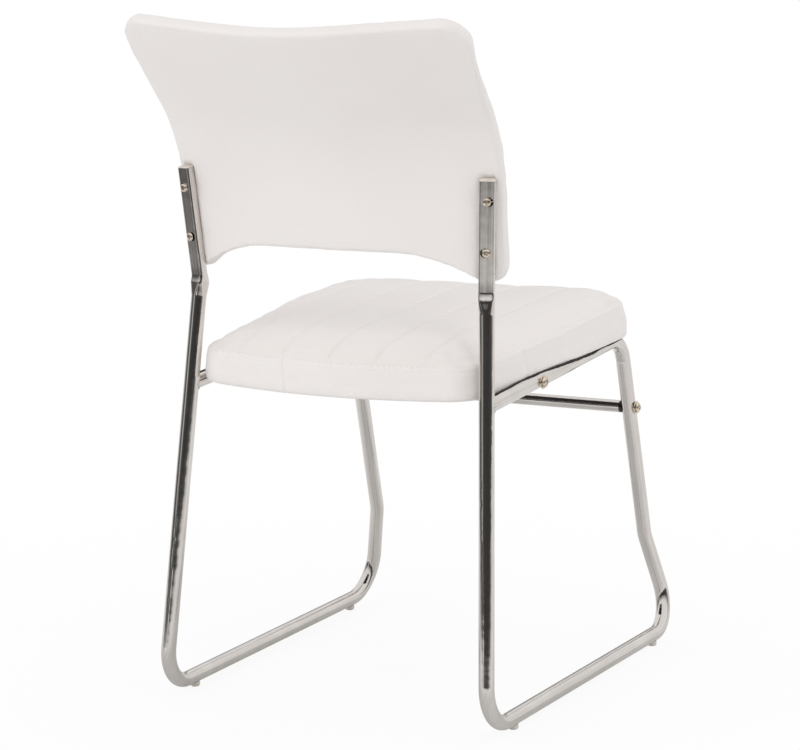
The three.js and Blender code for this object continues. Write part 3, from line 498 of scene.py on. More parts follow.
chrome = chromeLook()
brassy = screwLook("warmNickelPlate", colour(0.92, 0.83, 0.70), colour(0.62, 0.53, 0.43), 0.16)
darkSteel = screwLook("oiledDarkSteel", colour(0.09, 0.088, 0.085), colour(0.04, 0.04, 0.038), 0.38)
zinc = screwLook("zincPlate", colour(0.56, 0.57, 0.58), colour(0.38, 0.38, 0.39), 0.34)
leatherette = leatheretteLook()
thread = threadLook()
blackCloth = blackClothLook()
plywood = plywoodLook()
ivory = plasticLook("ivoryPlastic", colour(0.72, 0.66, 0.60), colour(0.62, 0.56, 0.50), 0.38)
print("looks made")


# side frames: each is one bent tube with its weld and its two tabs
frameTube = {
    "radius": 9.5,
    "wall": 1.2,
    "runnerHeight": 14.5,
    "top": (207.5, 54, 670),            # half spacing, forward of the rear corner, height
    "kinkHalf": 198.5, "kinkForward": 66.5, "kinkShare": 0.476,
    "rearHalf": 225,
    "frontHalf": 230, "frontForward": 565,
    "legKinkHalf": 203, "legKinkForward": 533.5, "legKinkShare": 0.312,
    "railFront": (200, 460.5, 421.5),
    "railRearHeight": 400,
    "floorBend": 48, "railBend": 42, "kinkBend": 60,
    "flatWidth": 19.6, "flatDepth": 12.6, "flatCorner": 3.2, "flatTurn": 18, "crown": 0.26,
    "flatFade": 27,                     # length over which the flat swells back to round
    "wrinkle": 0.55, "wrinkles": 5,     # depth and number of the press marks inside the front bend
    "quarterPoints": 16,
    "bendStep": 4,                      # degrees
    "rearGlideShare": 0.129,
}
screwShares = (("upper", 0.169), ("lower", 0.604))
holePlan = {"radius": 5.7, "upperOffset": -2.1, "lowerOffset": 1.9}   # offset towards the chair's middle
weldPlan = {"radius": 2.1, "around": 64, "section": 12}

glideLow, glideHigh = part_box("floor_glide_rear_right")
originY = (glideLow.y + glideHigh.y) / 2 / millimetre + frameTube["rearGlideShare"] * frameTube["frontForward"]


def spot(half, forward, height, sign):
    return np.array([sign * half, originY - forward, height], float)


def heightAt(share):
    # between the rail's rear end and the upright's top
    return between(frameTube["railRearHeight"], frameTube["top"][2], share)


def framePoints(sign):
    t = frameTube
    legHeight = between(t["runnerHeight"], t["railFront"][2], t["legKinkShare"])
    points = {
        "top": spot(*t["top"], sign),
        "kink": spot(t["kinkHalf"], t["kinkForward"], heightAt(t["kinkShare"]), sign),
        "rearCorner": spot(t["rearHalf"], 0, t["runnerHeight"], sign),
        "frontCorner": spot(t["frontHalf"], t["frontForward"], t["runnerHeight"], sign),
        "legKink": spot(t["legKinkHalf"], t["legKinkForward"], legHeight, sign),
        "railFront": spot(*t["railFront"], sign),
    }
    low, high = points["rearCorner"], points["kink"]
    points["railEnd"] = between(low, high, (t["railRearHeight"] - low[2]) / (high[2] - low[2]))
    return points


def bentPath(corners):
    # stations of point, tangent, flatness, the arc's inward direction and the ripple there
    stations = []
    for i, (point, radius, flat, ripple) in enumerate(corners):
        if not radius:
            other = corners[i - 1][0] if i else corners[1][0]
            tangent = unit(point - other) if i else unit(other - point)
            stations.append((point, tangent, flat, np.zeros(3), 0.0))
            continue
        into = unit(point - corners[i - 1][0])
        out = unit(corners[i + 1][0] - point)
        angle = math.acos(np.clip(into @ out, -1, 1))
        start = point - into * radius * math.tan(angle / 2)
        inward = unit(out - into * (out @ into))
        step = 0.5 if flat else 1.5 if ripple else frameTube["bendStep"]
        steps = max(3, round(math.degrees(angle) / step))
        for k in range(steps + 1):
            share = k / steps
            swing = angle * share
            place = start + into * radius * math.sin(swing) + inward * radius * (1 - math.cos(swing))
            tangent = into * math.cos(swing) + inward * math.sin(swing)
            towards = inward * math.cos(swing) - into * math.sin(swing)
            wave = ripple * math.sin(math.tau * frameTube["wrinkles"] * share) * abs(2 * share - 1)
            pressed = flat if k == 0 else flat / 2
            stations.append((place, tangent, pressed, towards, wave))
    return filled(stations)


def filled(stations):
    # closer stations along the straight runs, so that their shading stays even up to the bends
    dense = [stations[0]]
    for before, after in zip(stations, stations[1:]):
        gap = after[0] - before[0]
        length = np.linalg.norm(gap)
        if length > 8:
            close = np.arange(0.6, 18, 0.6) if before[2] == 0.5 else [1.0, 12.0]
            places = [*close, *np.arange(24, length - 6, 12), length - 1.0]
            flat = 1.0 if before[2] == 1.0 else 0.0
            dense += [(before[0] + gap * p / length, gap / length, flat, np.zeros(3), 0.0) for p in places]
        dense.append(after)
    return dense


def tubeSection(flat, inset):
    # a slightly crowned rounded rectangle where pressed flat, a circle where round; in between
    # the face first slopes out, and then the corners round off
    t = frameTube
    swell = 1 - flat + np.linspace(-0.05, 0.05, 9)
    slope = np.interp(swell, (0, 0.34, 0.42, 0.8), (0, 0.82, 0.9, 1)).mean()
    rounding = np.interp(swell, (0, 0.36, 1), (0, 0.12, 1)).mean()
    flat = min(1.0, max(0.0, flat))
    wide = between(t["radius"], t["flatWidth"] / 2, flat) - inset
    deep = between(t["flatDepth"] / 2, t["radius"], slope) - inset
    corner = between(t["flatCorner"], t["radius"], rounding) - inset
    corner = min(corner, wide, deep)
    angles = np.linspace(0, math.pi / 2, 25)
    x, y = wide - corner + corner * np.cos(angles), deep - corner + corner * np.sin(angles)
    outline = np.concatenate([np.stack(part, 1) for part in
                              ((x, y), (-x[::-1], y[::-1]), (-x, -y), (x[::-1], -y[::-1]), (x[:1], y[:1]))])
    lengths = np.concatenate([[0], np.cumsum(np.linalg.norm(np.diff(outline, axis=0), axis=1))])
    count = t["quarterPoints"] * 4
    places = (np.arange(count) + 0.5) / count * lengths[-1]
    section = np.stack([np.interp(places, lengths, outline[:, k]) for k in (0, 1)], 1)
    full = np.clip(1 - (section[:, 0] / (wide - corner + 1e-6)) ** 2, 0, None)
    section[:, 1] += np.sign(section[:, 1]) * t["crown"] * flat ** 3 * full
    return section


def uprightAxes(sign):
    points = framePoints(sign)
    down = unit(points["kink"] - points["top"])
    turn = math.radians(frameTube["flatTurn"])
    rearward = np.array([sign * math.sin(turn), math.cos(turn), 0])
    width = unit(np.cross(down, rearward))
    depth = unit(np.cross(down, width))
    return down, width, depth if depth[1] > 0 else -depth


def screwSpots(sign):
    # each back screw's level and place on the flat's axis, with the directions inward and rearward
    points = framePoints(sign)
    _, width, rearward = uprightAxes(sign)
    inward = width if width[0] * sign < 0 else -width
    return [(level, between(points["top"], points["kink"], share), inward, rearward) for level, share in screwShares]


def lengthsAlong(stations):
    return np.concatenate([[0], np.cumsum([np.linalg.norm(b[0] - a[0]) for a, b in zip(stations, stations[1:])])])


def sweptRings(stations, sign, inset):
    normal = uprightAxes(sign)[1]
    previous = Vector(stations[0][1])
    along = lengthsAlong(stations)
    crease = max(d for d, station in zip(along, stations) if station[2] == 1.0)
    flats = 1 - (along - crease) / frameTube["flatFade"]
    rings = []
    for (point, tangent, _, towards, wave), flat in zip(stations, flats):
        turn = previous.rotation_difference(Vector(tangent))
        normal = np.array(turn @ Vector(normal))
        normal = unit(normal - tangent * (normal @ tangent))
        previous = Vector(tangent)
        binormal = np.cross(tangent, normal)
        section = tubeSection(flat, inset)
        offset = section[:, :1] * normal + section[:, 1:] * binormal
        inner = np.clip(offset @ towards / frameTube["radius"], 0, 1) ** 2
        rings.append(point + offset - wave * inner[:, None] * towards)
    return rings


def tubeBody(sign):
    points = framePoints(sign)
    t = frameTube
    end = points["railEnd"]
    forward = unit(points["railFront"] - end)
    corners = [
        (points["top"], 0, 1.0, 0),
        (points["kink"], t["kinkBend"], 1.0, 0),
        (points["rearCorner"], t["floorBend"], 0, 0),
        (points["frontCorner"], t["floorBend"], 0, 0),
        (points["legKink"], t["kinkBend"], 0, 0),
        (points["railFront"], t["railBend"], 0, t["wrinkle"]),
        (end + forward * t["radius"] * 0.4, 0, 0, 0),
    ]
    stations = bentPath(corners)
    outer = sweptRings(stations, sign, 0.0)
    inner = sweptRings([s for s in stations if s[2] == 1.0], sign, t["wall"])
    rings = list(reversed(outer)) + inner
    count = len(outer[0])
    body = meshFrom("tubeBody", np.concatenate(rings), loftFaces(len(rings), count))
    return outwards(body), stations


def cutter(place, axis, radius, length, count=40):
    axis = unit(axis)
    side = unit(np.cross(axis, (0, 0, 1)))
    ring = radius * circle(count, side, np.cross(axis, side))
    points = np.concatenate([place + ring, place + ring + axis * length])
    return outwards(meshFrom("cutter", points, loftFaces(2, count)))


def cutAway(obj, tools):
    for tool in tools:
        setAll(obj.modifiers.new("cut", "BOOLEAN"), {"operation": "DIFFERENCE", "solver": "EXACT", "object": tool})
    result = evaluatedCopy(obj, obj.name)
    drop(obj)
    for tool in tools:
        drop(tool)
    return result


def weldBead(sign):
    # a ripple of weld that follows the curve where the rail meets the upright
    points = framePoints(sign)
    t = frameTube
    end = points["railEnd"]
    forward = unit(points["railFront"] - end)
    up = unit(points["kink"] - points["rearCorner"])
    across = unit(np.cross(up, forward))
    rise = np.cross(forward, across)
    path = []
    for k in range(weldPlan["around"]):
        angle = k / weldPlan["around"] * math.tau
        sideways, upward = math.cos(angle) * t["radius"], math.sin(angle) * t["radius"]
        # step forward along the rail until the point leaves the upright's skin
        base = end + across * sideways + rise * upward
        slope = forward - up * (forward @ up)
        offset = (base - end) - up * ((base - end) @ up)
        a, b = slope @ slope, 2 * offset @ slope
        c = offset @ offset - t["radius"] ** 2
        root = max(0.0, b * b - 4 * a * c)
        step = (-b + math.sqrt(root)) / (2 * a)
        path.append(base + forward * step)
    path = np.array(path)
    rings = []
    for k in range(len(path)):
        tangent = unit(path[(k + 1) % len(path)] - path[k - 1])
        outward = path[k] - end
        outward = unit(outward - tangent * (outward @ tangent))
        fullness = abs(math.sin(k / weldPlan["around"] * math.tau))
        radius = weldPlan["radius"] * (0.5 + 0.5 * fullness + 0.07 * math.sin(k * math.tau / 4))
        rings.append(path[k] + radius * circle(weldPlan["section"], outward, np.cross(tangent, outward)))
    return outwards(meshFrom("weldBead", np.concatenate(rings), hoopFaces(len(rings), weldPlan["section"]), 80))


tabPlan = {"length": 28, "reach": 31, "thickness": 2.5, "holeInset": 9, "hole": 3.5, "shares": (0.17, 0.8)}


def seatAxes():
    # the seat's own frame: X across, Y to the rear, Z up from the tops of the rails
    points = framePoints(1)
    low, high = points["railEnd"], points["railFront"]
    slope = math.atan2(high[2] - low[2], low[1] - high[1])
    origin = np.array([0, low[1], low[2] + frameTube["radius"] / math.cos(slope)])
    rearward = np.array([0, math.cos(slope), -math.sin(slope)])
    upward = np.array([0, math.sin(slope), math.cos(slope)])
    length = math.hypot(high[1] - low[1], high[2] - low[2], high[0] - low[0])
    return origin, rearward, upward, length


def fromSeat(x, y, z):
    origin, rearward, upward, _ = seatAxes()
    x, y, z = (np.asarray(v, float)[..., None] for v in (x, y, z))
    return origin + x * np.array([1.0, 0, 0]) + y * rearward + z * upward


def railHalf(share):
    # half the rails' spacing at that share of their length
    points = framePoints(1)
    return between(points["railEnd"][0], points["railFront"][0], share)


def tabPlate(sign, share):
    length = seatAxes()[3]
    half = railHalf(share)
    t = tabPlan
    tip = t["reach"] - t["holeInset"]
    outline = [(2.4, -t["length"] / 2)]
    for k in range(17):
        angle = -math.pi / 2 + math.pi * k / 16
        outline.append((tip + t["holeInset"] * math.cos(angle), t["length"] / 2 * math.sin(angle)))
    outline.append((2.4, t["length"] / 2))
    mesh = bmesh.new()
    tops = [mesh.verts.new(fromSeat(sign * (half - x), y - length * share, 0.0) * millimetre) for x, y in outline]
    face = mesh.faces.new(tops)
    solid = bmesh.ops.extrude_face_region(mesh, geom=[face])
    down = Vector(-seatAxes()[2]) * t["thickness"] * millimetre
    bmesh.ops.translate(mesh, vec=down, verts=[v for v in solid["geom"] if isinstance(v, bmesh.types.BMVert)])
    bmesh.ops.recalc_face_normals(mesh, faces=mesh.faces)
    bmesh.ops.bevel(mesh, geom=mesh.edges[:], offset=0.0004, segments=2, affect="EDGES")
    data = bpy.data.meshes.new("tabPlate")
    mesh.to_mesh(data)
    mesh.free()
    hole = fromSeat(sign * (half - tip), -length * share, -6.0)
    return cutAway(placed("tabPlate", data), [cutter(hole, seatAxes()[2], t["hole"], 12, 24)])


def markTubePlaces(piece, stations):
    # where each point lies round and along its tube, for the scratches along it and the painted reflection streaks
    tree = treeOf([station[0] for station in stations])
    lengths = lengthsAlong(stations)
    mark = piece.data.attributes.new("drawing", "FLOAT_VECTOR", "POINT")
    for i, point in enumerate(coordinates(piece) / millimetre):
        _, k, _ = tree.find(point)
        centre, tangent = stations[k][0], stations[k][1]
        level = unit(np.cross(tangent, (0.3, 0.2, 0.93)))
        offset = point - centre
        along = offset @ tangent
        mark.data[i].vector = (offset @ level, offset @ np.cross(tangent, level), lengths[k] + along)


def addSideFrame(label, sign):
    tools = [cutter(centre + inward * holePlan[level + "Offset"], rearward, holePlan["radius"], 16)
             for level, centre, inward, rearward in screwSpots(sign)]
    tube, stations = tubeBody(sign)
    parts = [cutAway(tube, tools), weldBead(sign)] + [tabPlate(sign, share) for share in tabPlan["shares"]]
    piece = joined("sideFrame." + label, parts)
    markTubePlaces(piece, stations)
    finishPiece(smoothed(piece, 50), chrome, "chrome", "side_frame_" + label)


for label, sign in sides:
    addSideFrame(label, sign)
print("side frames bent")


class Recipe:
    # a Geometry Nodes tree with named inputs, written in the same way as a look
    def __init__(self, name, inputs):
        self.tree = bpy.data.node_groups.new(name, "GeometryNodeTree")
        self.tree.interface.new_socket(name="Geometry", in_out="INPUT", socket_type="NodeSocketGeometry")
        self.keys = {}
        for label, kind, value in inputs:
            socket = self.tree.interface.new_socket(name=label, in_out="INPUT", socket_type="NodeSocket" + kind)
            if value is not None:
                socket.default_value = value
            self.keys[label] = socket.identifier
        self.tree.interface.new_socket(name="Geometry", in_out="OUTPUT", socket_type="NodeSocketGeometry")
        self.start = self.tree.nodes.new("NodeGroupInput")
        self.end = self.tree.nodes.new("NodeGroupOutput")

    def given(self, label):
        return self.start.outputs[label]

    def node(self, kind, settings=None, inputs=None, output=0):
        made = self.tree.nodes.new(kind)
        setAll(made, settings or {})
        for key, value in (inputs or {}).items():
            if isinstance(value, bpy.types.NodeSocket):
                self.tree.links.new(value, made.inputs[key])
            else:
                made.inputs[key].default_value = value
        return made.outputs[output]

    def finish(self, geometry, material):
        whole = self.node("GeometryNodeRealizeInstances", None, {0: geometry})
        dressed = self.node("GeometryNodeSetMaterial", None, {"Geometry": whole, "Material": material})
        self.tree.links.new(dressed, self.end.inputs[0])
        return self

    def run(self, source, name, values):
        modifier = source.modifiers.new(name, "NODES")
        modifier.node_group = self.tree
        for label, value in values.items():
            modifier[self.keys[label]] = value
        bpy.context.view_layer.update()
        result = evaluatedCopy(source, name)
        drop(source)
        while result.data.materials and result.data.materials[0] is None:
            result.data.materials.pop(index=0)
        return result


def polyline(name, points, closed=False):
    mesh = bpy.data.meshes.new(name)
    count = len(points)
    edges = [(k, k + 1) for k in range(count - 1)] + ([(count - 1, 0)] if closed else [])
    mesh.from_pydata([tuple(p) for p in np.asarray(points) * millimetre], edges, [])
    return placed(name, mesh)


def barRecipe():
    # a round tube along a line, open at its ends
    r = Recipe("barAlongLine", [("Radius", "Float", 0.008), ("Wall", "Float", 0.0012),
                                ("Sides", "Int", 48), ("Material", "Material", None)])
    line = r.node("GeometryNodeMeshToCurve", None, {0: r.given("Geometry")})
    bore = r.node("ShaderNodeMath", {"operation": "SUBTRACT"}, {0: r.given("Radius"), 1: r.given("Wall")})
    circles = [r.node("GeometryNodeCurvePrimitiveCircle", None, {"Resolution": r.given("Sides"), "Radius": radius})
               for radius in (r.given("Radius"), bore)]
    skin, core = (r.node("GeometryNodeCurveToMesh", None, {"Curve": line, "Profile Curve": circle, "Fill Caps": True})
                  for circle in circles)
    shifted = r.node("GeometryNodeTransform", None, {"Geometry": core, "Scale": (1.02, 1, 1)})
    tube = r.node("GeometryNodeMeshBoolean", {"operation": "DIFFERENCE", "solver": "EXACT"},
                  {"Mesh 1": skin, "Mesh 2": shifted})
    smooth = r.node("GeometryNodeSetShadeSmooth", None, {"Geometry": tube, "Shade Smooth": True})
    return r.finish(smooth, r.given("Material"))


barPlan = {"radius": 8.0, "wall": 1.2, "sides": 56}
barTree = barRecipe()
for end in ends:
    low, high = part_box(end + "_crossbar")
    middle = (low + high) / 2 / millimetre
    line = polyline("barLine", [(low.x / millimetre, middle.y, middle.z), (high.x / millimetre, middle.y, middle.z)])
    values = {"Radius": barPlan["radius"] * millimetre, "Wall": barPlan["wall"] * millimetre,
              "Sides": barPlan["sides"], "Material": chrome}
    bar = barTree.run(line, "crossbar." + end, values)
    bar.data.set_sharp_from_angle(angle=math.radians(40))
    markTubePlaces(bar, [(np.array([x, middle.y, middle.z]), np.array([1.0, 0, 0])) for x in (-150.0, 0.0, 150.0)])
    finishPiece(bar, None, "chrome", end + "_crossbar")


def turnedPoints(profile, count):
    # round Z, from (radius, height) pairs
    angles = [k / count * math.tau for k in range(count)]
    return [(radius * math.cos(angle), radius * math.sin(angle), height)
            for radius, height in profile for angle in angles]


def turnedMaster(name, profile, count=48):
    # a turned piece whose two ends lie on the axis
    rings = profile[1:-1]
    points = [(0, 0, profile[0][1]), *turnedPoints(rings, count), (0, 0, profile[-1][1])]
    faces = loftFaces(len(rings), count, False, 1)
    last = len(points) - 1
    for k in range(count):
        nextOne = (k + 1) % count
        faces.append((0, 1 + nextOne, 1 + k))
        start = 1 + (len(rings) - 1) * count
        faces.append((last, start + k, start + nextOne))
    return outwards(meshFrom(name, points, faces))


def crossRecess(size, height):
    # two crossed, tapering blades
    parts = []
    for turn in (0, 1):
        long, short = size["recess"] / 2, size["slot"] / 2
        points = []
        for z, share in ((height - size["depth"], 0.45), (height + 1.0, 1.15)):
            for x, y in ((-long, -short), (long, -short), (long, short), (-long, short)):
                x, y = x * share, y * (0.8 if share < 1 else 1.0)
                points.append((x, y, z) if turn == 0 else (-y, x, z))
        faces = [(0, 3, 2, 1), (4, 5, 6, 7)] + [(k, (k + 1) % 4, (k + 1) % 4 + 4, k + 4) for k in range(4)]
        parts.append(outwards(meshFrom("blade", points, faces)))
    return parts


def screwMaster(name, size):
    radius, rim, rise = size["head"] / 2, size["rim"], size["rise"]
    dome = []
    for k in range(1, 9):
        angle = k / 8.5 * math.pi / 2
        dome.append((radius * math.cos(angle), rim + (rise - rim) * math.sin(angle)))
    profile = [(0, -size["length"]), (size["shank"] * 0.3, -size["length"]), (size["shank"] / 2, -size["length"] + 1),
               (size["shank"] / 2, 0), (radius - 0.3, 0), (radius, 0.3), (radius, rim)] + dome + [(0, rise)]
    body = turnedMaster(name, profile)
    return smoothed(cutAway(body, crossRecess(size, rise)), 35)


def fastenerRecipe():
    # a copy of one turned piece at each point, aimed along the point's own direction
    r = Recipe("fastenersOnPoints", [("Piece", "Object", None), ("Material", "Material", None)])
    aim = r.node("GeometryNodeInputNamedAttribute", {"data_type": "FLOAT_VECTOR"}, {"Name": "aim"})
    spin = r.node("GeometryNodeInputNamedAttribute", {"data_type": "FLOAT"}, {"Name": "spin"})
    facing = r.node("FunctionNodeAlignRotationToVector", {"axis": "Z"}, {"Vector": aim})
    twist = r.node("FunctionNodeAxisAngleToRotation", None, {"Axis": (0, 0, 1), "Angle": spin})
    turned = r.node("FunctionNodeRotateRotation", {"rotation_space": "LOCAL"},
                    {"Rotation": facing, "Rotate By": twist})
    piece = r.node("GeometryNodeObjectInfo", {"transform_space": "ORIGINAL"},
                   {"Object": r.given("Piece")}, "Geometry")
    copies = r.node("GeometryNodeInstanceOnPoints", None,
                    {"Points": r.given("Geometry"), "Instance": piece, "Rotation": turned})
    return r.finish(copies, r.given("Material"))


fastenerTree = fastenerRecipe()


def placeFasteners(name, master, look, slot, places):
    # places hold a point in millimetres, a direction, a spin and the CAD node that it stands for
    mesh = bpy.data.meshes.new(name + "Points")
    mesh.from_pydata([tuple(np.asarray(p) * millimetre) for p, _, _, _ in places], [], [])
    mesh.attributes.new("aim", "FLOAT_VECTOR", "POINT")
    mesh.attributes.new("spin", "FLOAT", "POINT")
    for k, (_, direction, angle, _) in enumerate(places):
        mesh.attributes["aim"].data[k].vector = direction
        mesh.attributes["spin"].data[k].value = angle
    piece = fastenerTree.run(placed(name + "Points", mesh), name, {"Piece": master, "Material": look})
    drop(master)
    finishPiece(piece, None, slot, *[node for _, _, _, node in places])


# shank, length, head, rise, rim, recess, slot and depth of each screw
screwNames = ("shank", "length", "head", "rise", "rim", "recess", "slot", "depth")
backScrew = dict(zip(screwNames, (5, 31, 10.4, 3.8, 1.2, 6.6, 1.5, 2.3)))
barBolt = dict(zip(screwNames, (6, 42, 13, 4.4, 1.6, 8.4, 1.9, 2.8)))
seatScrew = dict(zip(screwNames, (6, 16, 11, 3.6, 1.1, 6.8, 1.6, 2.2)))
washerPlan = {"radius": 8.75, "hole": 3.4, "thickness": 1.5, "edge": 0.35, "around": 56}
barShares = {"front": 0.65, "rear": 0.345}
seated = 0.3            # gap between pieces that touch


def barAnchor(end, sign):
    points = framePoints(sign)
    first, second = ("legKink", "railFront") if end == "front" else ("railEnd", "railFront")
    return between(points[first], points[second], barShares[end])


def addFasteners():
    t, w = frameTube, washerPlan
    backPlaces, barPlaces, washerPlaces, seatPlaces = [], [], [], []
    _, _, upward, length = seatAxes()
    spins = iter((0.25, 0.9, 1.25, 0.5, 0.15, 1.0, 0.6, 0.35, 0.8, 0.1, 1.1, 0.45))
    for label, sign in sides:
        for level, axis, _, outward in screwSpots(sign):
            backPlaces.append((axis + outward * (t["flatDepth"] / 2 + seated), outward, next(spins),
                               "back_screw_" + level + "_" + label))
        across = np.array([sign, 0.0, 0.0])
        for end in ends:
            seat = barAnchor(end, sign) + across * (t["radius"] + seated)
            washerPlaces.append((seat, across, 0.0, "bar_washer_" + end + "_" + label))
            barPlaces.append((seat + across * (w["thickness"] + seated), across, next(spins),
                              "bar_bolt_" + end + "_" + label))
        for end, share in zip(ends, tabPlan["shares"]):
            x = sign * (railHalf(share) - (tabPlan["reach"] - tabPlan["holeInset"]))
            place = fromSeat(x, -length * share, -tabPlan["thickness"] - seated)
            seatPlaces.append((place, -upward, next(spins), "seat_screw_" + end + "_" + label))
    ring = [(w["hole"], 0), (w["radius"] - w["edge"], 0), (w["radius"], w["edge"]),
            (w["radius"], w["thickness"] - w["edge"]), (w["radius"] - w["edge"], w["thickness"]),
            (w["hole"], w["thickness"])]
    washer = meshFrom("washer", turnedPoints(ring, w["around"]), hoopFaces(len(ring), w["around"]), 25)
    placeFasteners("backScrews", screwMaster("backScrew", backScrew), brassy, "nickel", backPlaces)
    placeFasteners("barBolts", screwMaster("barBolt", barBolt), brassy, "nickel", barPlaces)
    placeFasteners("barWashers", outwards(washer), brassy, "nickel", washerPlaces)
    placeFasteners("seatScrews", screwMaster("seatScrew", seatScrew), zinc, "zinc", seatPlaces)


addFasteners()
print("fasteners placed")


plugPlan = {"lift": 0.3, "rim": 0.8, "rise": 1.9, "stem": 11.0, "edge": 0.4, "slack": 1.5}
glidePlan = {"radius": 6.3, "foot": 4.8, "chamfer": 1.4, "height": 14.0, "sides": 40, "frontShare": 0.878}


def addPlug(label, sign):
    down, width, depth = uprightAxes(sign)
    top = framePoints(sign)["top"]
    p = plugPlan
    low, edge = p["lift"], p["edge"]
    high = low + p["rim"]
    levels = [(p["slack"], 1.0, -p["stem"]), (p["slack"], 1.0, low), (edge, 1.0, low), (0.0, 1.0, low + edge),
              (0.0, 1.0, high - edge), (edge, 1.0, high)]
    for k in range(1, 8):
        angle = k / 7.4 * math.pi / 2
        levels.append((edge, math.cos(angle) ** 0.8, high + p["rise"] * math.sin(angle)))
    rings = []
    for inset, scale, height in levels:
        section = tubeSection(1.0, inset) * scale
        rings.append(top - down * height + section[:, :1] * width + section[:, 1:] * depth)
    piece = meshFrom("uprightPlug." + label, np.concatenate(rings), loftFaces(len(rings), len(rings[0])), 35)
    finishPiece(outwards(piece), ivory, "ivory_plastic", "upright_plug_" + label)


def addGlide(end, label, sign):
    points, g = framePoints(sign), glidePlan
    share = frameTube["rearGlideShare"] if end == "rear" else g["frontShare"]
    axis = between(points["rearCorner"], points["frontCorner"], share)
    run = unit(points["frontCorner"] - points["rearCorner"])
    profile = [(0, 0), (g["foot"] - 0.3, 0), (g["foot"], 0.15), (g["radius"] - 0.2, g["chamfer"] - 0.2),
               (g["radius"], g["chamfer"]), (g["radius"], g["height"]), (0, g["height"])]
    foot = turnedMaster("foot", profile, g["sides"])
    foot.data.transform(Matrix.Translation(Vector((axis[0], axis[1], 0)) * millimetre))
    saddle = cutter(axis - run * 20, run, frameTube["radius"] + seated, 40, 64)
    piece = cutAway(foot, [saddle])
    keep = bmesh.new()
    keep.from_mesh(piece.data)
    high = [v for v in keep.verts if v.co.z > (axis[2] - 2) * millimetre]
    bmesh.ops.delete(keep, geom=high, context="VERTS")
    bmesh.ops.holes_fill(keep, edges=keep.edges[:], sides=0)
    keep.to_mesh(piece.data)
    keep.free()
    piece.name = "floorGlide." + end + "." + label
    finishPiece(smoothed(piece, 35), ivory, "ivory_plastic", "floor_glide_" + end + "_" + label)


for label, sign in sides:
    addPlug(label, sign)
    for end in ends:
        addGlide(end, label, sign)
print("plugs and glides fitted")


def spreadColumns(half, radius, inner, corner):
    # columns from -1 to 1, closer together round a corner of that radius
    start = (half - radius) / half
    angles = np.linspace(0, math.pi / 2, corner + 1)[1:]
    outer = (half - radius + radius * np.sin(angles)) / half
    positive = np.concatenate([np.linspace(0, start, inner + 1), outer])
    return np.concatenate([-positive[:0:-1], positive])


def panelPiece(name, columns, rows, facePoint, ringPoints):
    # facePoint(h, v, side) gives a face's points; ringPoints(h, v) a list of rim rings from low to high
    h, v = np.meshgrid(columns, rows, indexing="ij")
    low, high = facePoint(h, v, 0), facePoint(h, v, 1)
    nc, nr = h.shape
    lowIds = np.arange(nc * nr).reshape(nc, nr)
    highIds = lowIds + nc * nr
    loop = [(i, 0) for i in range(nc - 1)] + [(nc - 1, j) for j in range(nr - 1)]
    loop += [(i, nr - 1) for i in range(nc - 1, 0, -1)] + [(0, j) for j in range(nr - 1, 0, -1)]
    li, lj = np.array(loop).T
    rings = ringPoints(h[li, lj], v[li, lj])
    points = [low.reshape(-1, 3), high.reshape(-1, 3)] + rings
    faces = []
    for i in range(nc - 1):
        for j in range(nr - 1):
            faces.append((lowIds[i, j], lowIds[i, j + 1], lowIds[i + 1, j + 1], lowIds[i + 1, j]))
            faces.append((highIds[i, j], highIds[i + 1, j], highIds[i + 1, j + 1], highIds[i, j + 1]))
    first = 2 * nc * nr
    strips = [lowIds[li, lj]] + [first + r * len(loop) + np.arange(len(loop)) for r in range(len(rings))]
    strips.append(highIds[li, lj])
    for lower, upper in zip(strips, strips[1:]):
        for k in range(len(loop)):
            n = (k + 1) % len(loop)
            faces.append((lower[k], lower[n], upper[n], upper[k]))
    faces = [tuple(int(i) for i in face) for face in faces]
    return outwards(meshFrom(name, np.concatenate(points), faces, 180))


clothSteps = 20


def relaxed(obj, plan, pinned):
    # how a stretched cover settles over its foam: a cloth run on a remeshed copy,
    # read back as a smooth displacement of the finer mesh
    source = placed("coverCopy", obj.data.copy())
    setAll(source.modifiers.new("remesh", "REMESH"), {"mode": "VOXEL", "voxel_size": plan["voxel"] * millimetre})
    cloth = evaluatedCopy(source, "cover")
    drop(source)
    before = coordinates(cloth)
    group = cloth.vertex_groups.new(name="held")
    held = np.nonzero(pinned(before / millimetre))[0]
    group.add([int(i) for i in held], 1.0, "REPLACE")
    modifier = cloth.modifiers.new("cloth", "CLOTH")
    setAll(modifier.settings, {
        "quality": plan["quality"], "mass": 0.25, "tension_stiffness": plan["stiffness"],
        "compression_stiffness": plan["stiffness"], "shear_stiffness": plan["stiffness"] * 0.5,
        "bending_stiffness": plan["bending"], "use_pressure": True, "uniform_pressure_force": plan["pressure"],
        "shrink_min": plan["shrink"], "vertex_group_mass": "held"})
    modifier.settings.effector_weights.gravity = 0.0
    modifier.collision_settings.use_collision = False
    setAll(modifier.point_cache, {"frame_start": 1, "frame_end": clothSteps})
    for step in range(1, clothSteps + 1):
        scene.frame_set(step)
    settled = evaluatedCopy(cloth, "settled")
    scene.frame_set(1)
    shift = coordinates(settled) - before
    size = np.linalg.norm(shift, axis=1)
    cap = plan["cap"] * millimetre
    shift *= np.minimum(1.0, cap / np.maximum(size, 1e-9))[:, None]
    print("cover settled:", len(before), "points, median", round(float(np.median(size)) / millimetre, 2), "mm")
    tree = treeOf(before)
    co = coordinates(obj)
    moved = co.copy()
    for i, p in enumerate(co):
        found = tree.find_n(p, 8)
        weights = np.array([1 / (d + 1e-4) for _, _, d in found])
        moved[i] += (shift[[k for _, k, _ in found]] * weights[:, None]).sum(0) / weights.sum()
    setCoordinates(obj, moved)
    drop(cloth)
    drop(settled)


